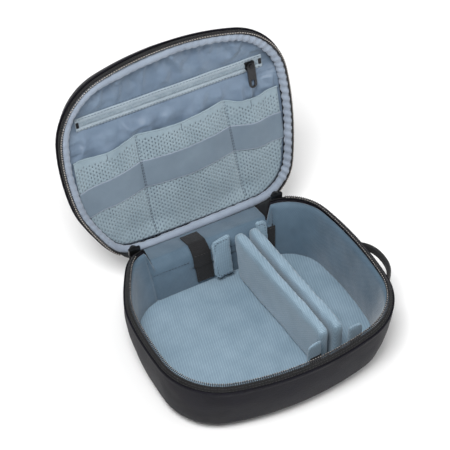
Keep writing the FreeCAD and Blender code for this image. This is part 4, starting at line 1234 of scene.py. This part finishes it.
def make_gusset():
    """The hinge's two layers of cloth, the loop strip's tail on them and their seams."""
    for name, offset, material, slot, node in (
            ("hinge_inner_cloth", 0.0, LINING, "lining_fabric", "hinge_lining"),
            ("hinge_outer_cloth", -1.6, SHELL, "shell_fabric", "hinge_gusset")):
        line, normal = gusset_profile(offset)
        xs = np.linspace(-59.5, 59.5, 110)
        gx = np.repeat(xs[:, None], len(line), 1)
        along = np.arange(len(line))[None] * 1.2
        wave = noisy(np.stack([gx, along + 0 * gx], -1), 14.0, 71.0) * 0.5
        if offset:
            wave = wave * 0.4
        y = line[None, :, 0] + normal[None, :, 0] * wave
        z = line[None, :, 1] + normal[None, :, 1] * wave
        shape = grid(np.stack([gx, y, z], -1), flip=True)
        made = piece(name, shape, material, None, [node])
        solid(made, 0.5)
        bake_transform(made)
    line, normal = gusset_profile(0.9)
    xs = np.linspace(-19.5, -2.5, 20)
    gx = np.repeat(xs[:, None], 26, 1)
    fuzz = noisy(np.stack([gx, np.arange(26)[None] * 1.3 + 0 * gx], -1), 1.4, 83.0) * 0.15
    face = [np.stack([gx, line[None, :26, 0] + normal[None, :26, 0] * (fuzz + lift),
                      line[None, :26, 1] + normal[None, :26, 1] * (fuzz + lift)], -1)
            for lift in (0.0, 0.7)]
    made = piece("loop_pad_tail", grid(face[1], flip=True) + grid(face[0]), HOOK, None)
    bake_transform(made)
    line, normal = gusset_profile(0.5)
    for name, place, span in (("seam_left", 5, (-59, -21)), ("seam_right", 5, (-1, 59)),
                              ("lid_seam", 29, (-59, 59))):
        xs = np.linspace(*span, 60)
        path = np.stack([xs, np.full(60, line[place, 0]), np.full(60, line[place, 1])], 1)
        made = piece("gusset_stitch_" + name,
                     stitches(path, (0, normal[place, 0], normal[place, 1]), 3.0, 2.0, 0.25),
                     THREAD, None)
        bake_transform(made)


def make_loop_strips():
    """Fuzzy strips for the dividers' flaps, sewn down round their edges."""
    for end in ("rear", "front"):
        for side, x in zip(("left", "right"), STRIP_PLACES):
            node = "loop_strip_%s_%s" % (end, side)
            rear = end == "rear"
            center = float(rim_step(x, rear))
            half = 9.0 / STEP
            us = np.linspace(center - half, center + half, 22)
            zs = np.linspace(13, 43.0 if rear else 52.0, 34)
            gu, gz = np.meshgrid(us, zs, indexing="ij")
            edge = np.minimum(np.minimum(gu - us[0], us[-1] - gu) * STEP,
                              np.minimum(gz - zs[0], zs[-1] - gz))
            fuzz = noisy(np.stack([gu * STEP, gz], -1), 1.3, 81.0) * 0.12
            surface = 9.0 + 1.0 * (1 - np.exp(-edge / 0.45)) + fuzz
            points = BASE.at(gu, surface, gz)
            behind = BASE.at(gu, 6.5, gz)
            shape = grid(points, flip=True) + grid(behind)
            piece("loop_pad_%s_%s" % (end, side), shape, HOOK, "base", [node])
            corners = [(us[0], zs[0]), (us[-1], zs[0]), (us[-1], zs[-1]), (us[0], zs[-1]),
                       (us[0], zs[0])]
            inner = []
            for (u0, z0), (u1, z1) in zip(corners, corners[1:]):
                t = np.linspace(0, 1, 20)[:-1]
                inner.append(np.stack([u0 + (u1 - u0) * t, z0 + (z1 - z0) * t], 1))
            inner = np.concatenate(inner)
            middle = inner.mean(0)
            inner = middle + (inner - middle) * [0.86, 0.92]
            path = BASE.at(inner[:, 0], 10.05, inner[:, 1])
            lift = BASE.at(inner[:, 0], 12.0, inner[:, 1]) - path
            piece("loop_stitch_%s_%s" % (end, side), stitches(path, lift, 2.8, 1.9, 0.25),
                  BLACK_THREAD, "base")


def make_handle():
    """Webbing grab handle: sewn flat at both ends, folded narrow where it bows out."""
    low, high = (np.array(v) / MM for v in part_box("side_handle"))
    center_y, center_z = (low[1] + high[1]) / 2, (low[2] + high[2]) / 2
    half = (high[1] - low[1]) / 2
    y = np.linspace(-half, half, 140)
    bow = np.clip(1 - (np.abs(y) / 26.0) ** 2.4, 0, None) ** 0.85
    fold = ease((28.0 - np.abs(y)) / 12.0)
    wall_x = BASE.high[np.argmax(BASE.high[:, 0]), 0] - 1.6
    x = wall_x - (y / half) ** 2 * 2.2 + 0.6 + bow * (high[0] - wall_x - 2.3)
    tall, thick = 9.6 - 5.4 * fold, 1.05 + 0.85 * fold
    share = np.linspace(-1, 1, 14)
    outer = np.stack([1 - np.abs(share) ** 6 * 0.98, share], 1)
    section = np.vstack([outer, (outer * [-1, 1])[::-1]])
    line = np.stack([x, y + center_y], 1)
    ahead = unit(np.gradient(line, axis=0))
    normal = np.stack([ahead[:, 1], -ahead[:, 0]], 1)
    points = np.zeros((len(y), len(section), 3))
    depth = thick[:, None] * section[None, :, 0]
    points[..., :2] = line[:, None] + normal[:, None] * depth[..., None]
    points[..., 2] = (center_z + 5.0 * fold)[:, None] + tall[:, None] * section[None, :, 1]
    shape = grid(points, close_v=True, flip=True) + cap(points[0]) + cap(points[-1], True)
    piece("handle_webbing", shape, WEBBING, "base", ["side_handle"])
    for sign in (-1, 1):
        ys = np.linspace(center_y + sign * (half - 1.5), center_y + sign * (half - 7.0), 12)
        for row in (-7.5, 0.0, 7.5):
            px = np.interp(ys - center_y, y, x) + 1.2
            path = np.stack([px, ys, np.full(12, center_z + row)], 1)
            piece("handle_stitch_%d_%d" % (sign + 1, row + 8), stitches(path, (1, 0, 0), 2.6, 1.8, 0.3),
                  BLACK_THREAD, "base")


def make_corner_webs():
    """Zipper tape carried on from the base's rim to the lid's at both ends of the hinge."""
    for side, sign in (("left", -1), ("right", 1)):
        place = BASE.high[:, 0] * sign
        rear = BASE.high[:, 1] > 60
        steps = np.nonzero(rear & (place > 56.5) & (place < 78.5))[0].astype(float)
        u = np.linspace(steps[0], steps[-1], 30)
        lower = BASE.at(u, 3.0, rear_top(u, 66.0) - 1.0)
        upper = LID.at(u, 2.2, 6.2)
        t = np.linspace(0, 1, 26)[None, :, None]
        points = lower[:, None] * (1 - t) + upper[:, None] * t
        sag = np.sin(t[..., 0] * math.pi)
        points[..., 2] -= 2.4 * sag
        wave = noisy(points, 8.0, 91.0) * sag
        points[..., 1] += 0.8 * wave
        points[..., 2] += 0.6 * wave
        made = piece("corner_web_" + side, grid(points), TAPE, None,
                     ["zipper_end_tab_" + side])
        solid(made, 0.8)
        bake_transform(made)


def solid(made, thickness):
    """Gives a sheet its thickness for good."""
    thick = made.modifiers.new("cloth", "SOLIDIFY")
    thick.thickness, thick.offset = thickness * MM, 0
    bpy.context.view_layer.objects.active = made
    bpy.ops.object.modifier_apply(modifier="cloth")


def make_camera():
    """The camera looks from the front and above, at a point over the base's rear."""
    azimuth, elevation, roll = (math.radians(turn) for turn in (-27.249, 46.18, -0.584))
    distance, sensor = 1778.35, 36.0
    back = np.array([math.sin(azimuth) * math.cos(elevation),
                     -math.cos(azimuth) * math.cos(elevation), math.sin(elevation)])
    target = np.array([21.64, 110.89, 46.98])
    right = np.cross(-back, [0, 0, 1])
    right /= np.linalg.norm(right)
    up = np.cross(right, -back)
    right_r = right * math.cos(roll) + up * math.sin(roll)
    up_r = up * math.cos(roll) - right * math.sin(roll)
    data = bpy.data.cameras.new("camera")
    data.sensor_width, data.lens = sensor, sensor * 4.45062
    data.clip_start, data.clip_end = 0.05, 50
    made = link("camera", data)
    turn = np.eye(4)
    turn[:3, 0], turn[:3, 1], turn[:3, 2] = right_r, up_r, back
    turn[:3, 3] = (target + back * distance) * MM
    made.matrix_world = Matrix(turn.tolist())
    bpy.context.scene.camera = made


def make_stage():
    bpy.context.scene.view_settings.view_transform = "Standard"
    mesh = bpy.data.meshes.new("floor")
    half = 6.0
    mesh.from_pydata([(-half, -half, 0), (half, -half, 0), (half, half, 0), (-half, half, 0)], [],
                     [(0, 1, 2, 3)])
    floor = link("floor", mesh)
    finish = Finish("studio_floor", 0.9)
    finish.paint(finish.color(finish.grains(0.5), (0.93, 0.93, 0.93, 1), (0.96, 0.96, 0.96, 1)))
    mesh.materials.append(finish.material)
    world = bpy.data.worlds.new("studio")
    world.use_nodes = True
    world.node_tree.nodes["Background"].inputs["Color"].default_value = (1, 1, 1, 1)
    world.node_tree.nodes["Background"].inputs["Strength"].default_value = 0.40
    bpy.context.scene.world = world
    for name, place, size, power in (("key", (-0.55, -0.55, 1.6), 0.6, 27),
                                     ("fill", (1.1, -0.9, 1.2), 1.2, 7),
                                     ("back", (0.2, 1.3, 1.2), 1.0, 7)):
        data = bpy.data.lights.new(name, "AREA")
        data.energy, data.size = power, size
        light = link(name, data)
        light.location = place
        aim = Vector((0, 0.06, 0.08)) - Vector(place)
        light.rotation_euler = aim.to_track_quat("-Z", "Y").to_euler()


CAD_FINISH = {"slider_metal": METAL, "pull_plastic": PULL, "stiffening_board": BOARD,
              "shell_fabric": SHELL, "lining_fabric": LINING, "satin_lining": SATIN,
              "piping_fabric": PIPING, "zipper_tape": TAPE, "zipper_coil": COIL,
              "pocket_tape": POCKET_TAPE, "mesh_fabric": MESH, "elastic": ELASTIC,
              "webbing": WEBBING, "hook_and_loop": HOOK, "divider_fabric": PAD}


def finish_cad():
    """Better materials on the CAD nodes that stay."""
    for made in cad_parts.values():
        for place in made.material_slots:
            old = place.material.name.split(".")[0]
            place.material = CAD_FINISH.get(old, PULL)


make_camera()
make_stage()
finish_cad()
make_base_shell()
make_zipper("base", BASE, "base", SEAM + 0.6, 67.2, 67.1, 1)
make_zipper("lid", LID, "lid", LID_SEAM - 0.2, 1.6, 1.9, -1)
make_base_lining()
make_floor_pad()
make_dividers()
make_lid_shell()
make_piping()
make_panels()
make_pocket_zip()
make_mesh()
make_band()
make_gusset()
make_loop_strips()
make_handle()
make_corner_webs()
make_welt("base_welt", BASE, u_range(64), 0.6, 62.4, 1.0, "base")
make_welt("lid_welt", LID, u_range(), 0.6, 6.9, 1.0, "lid")
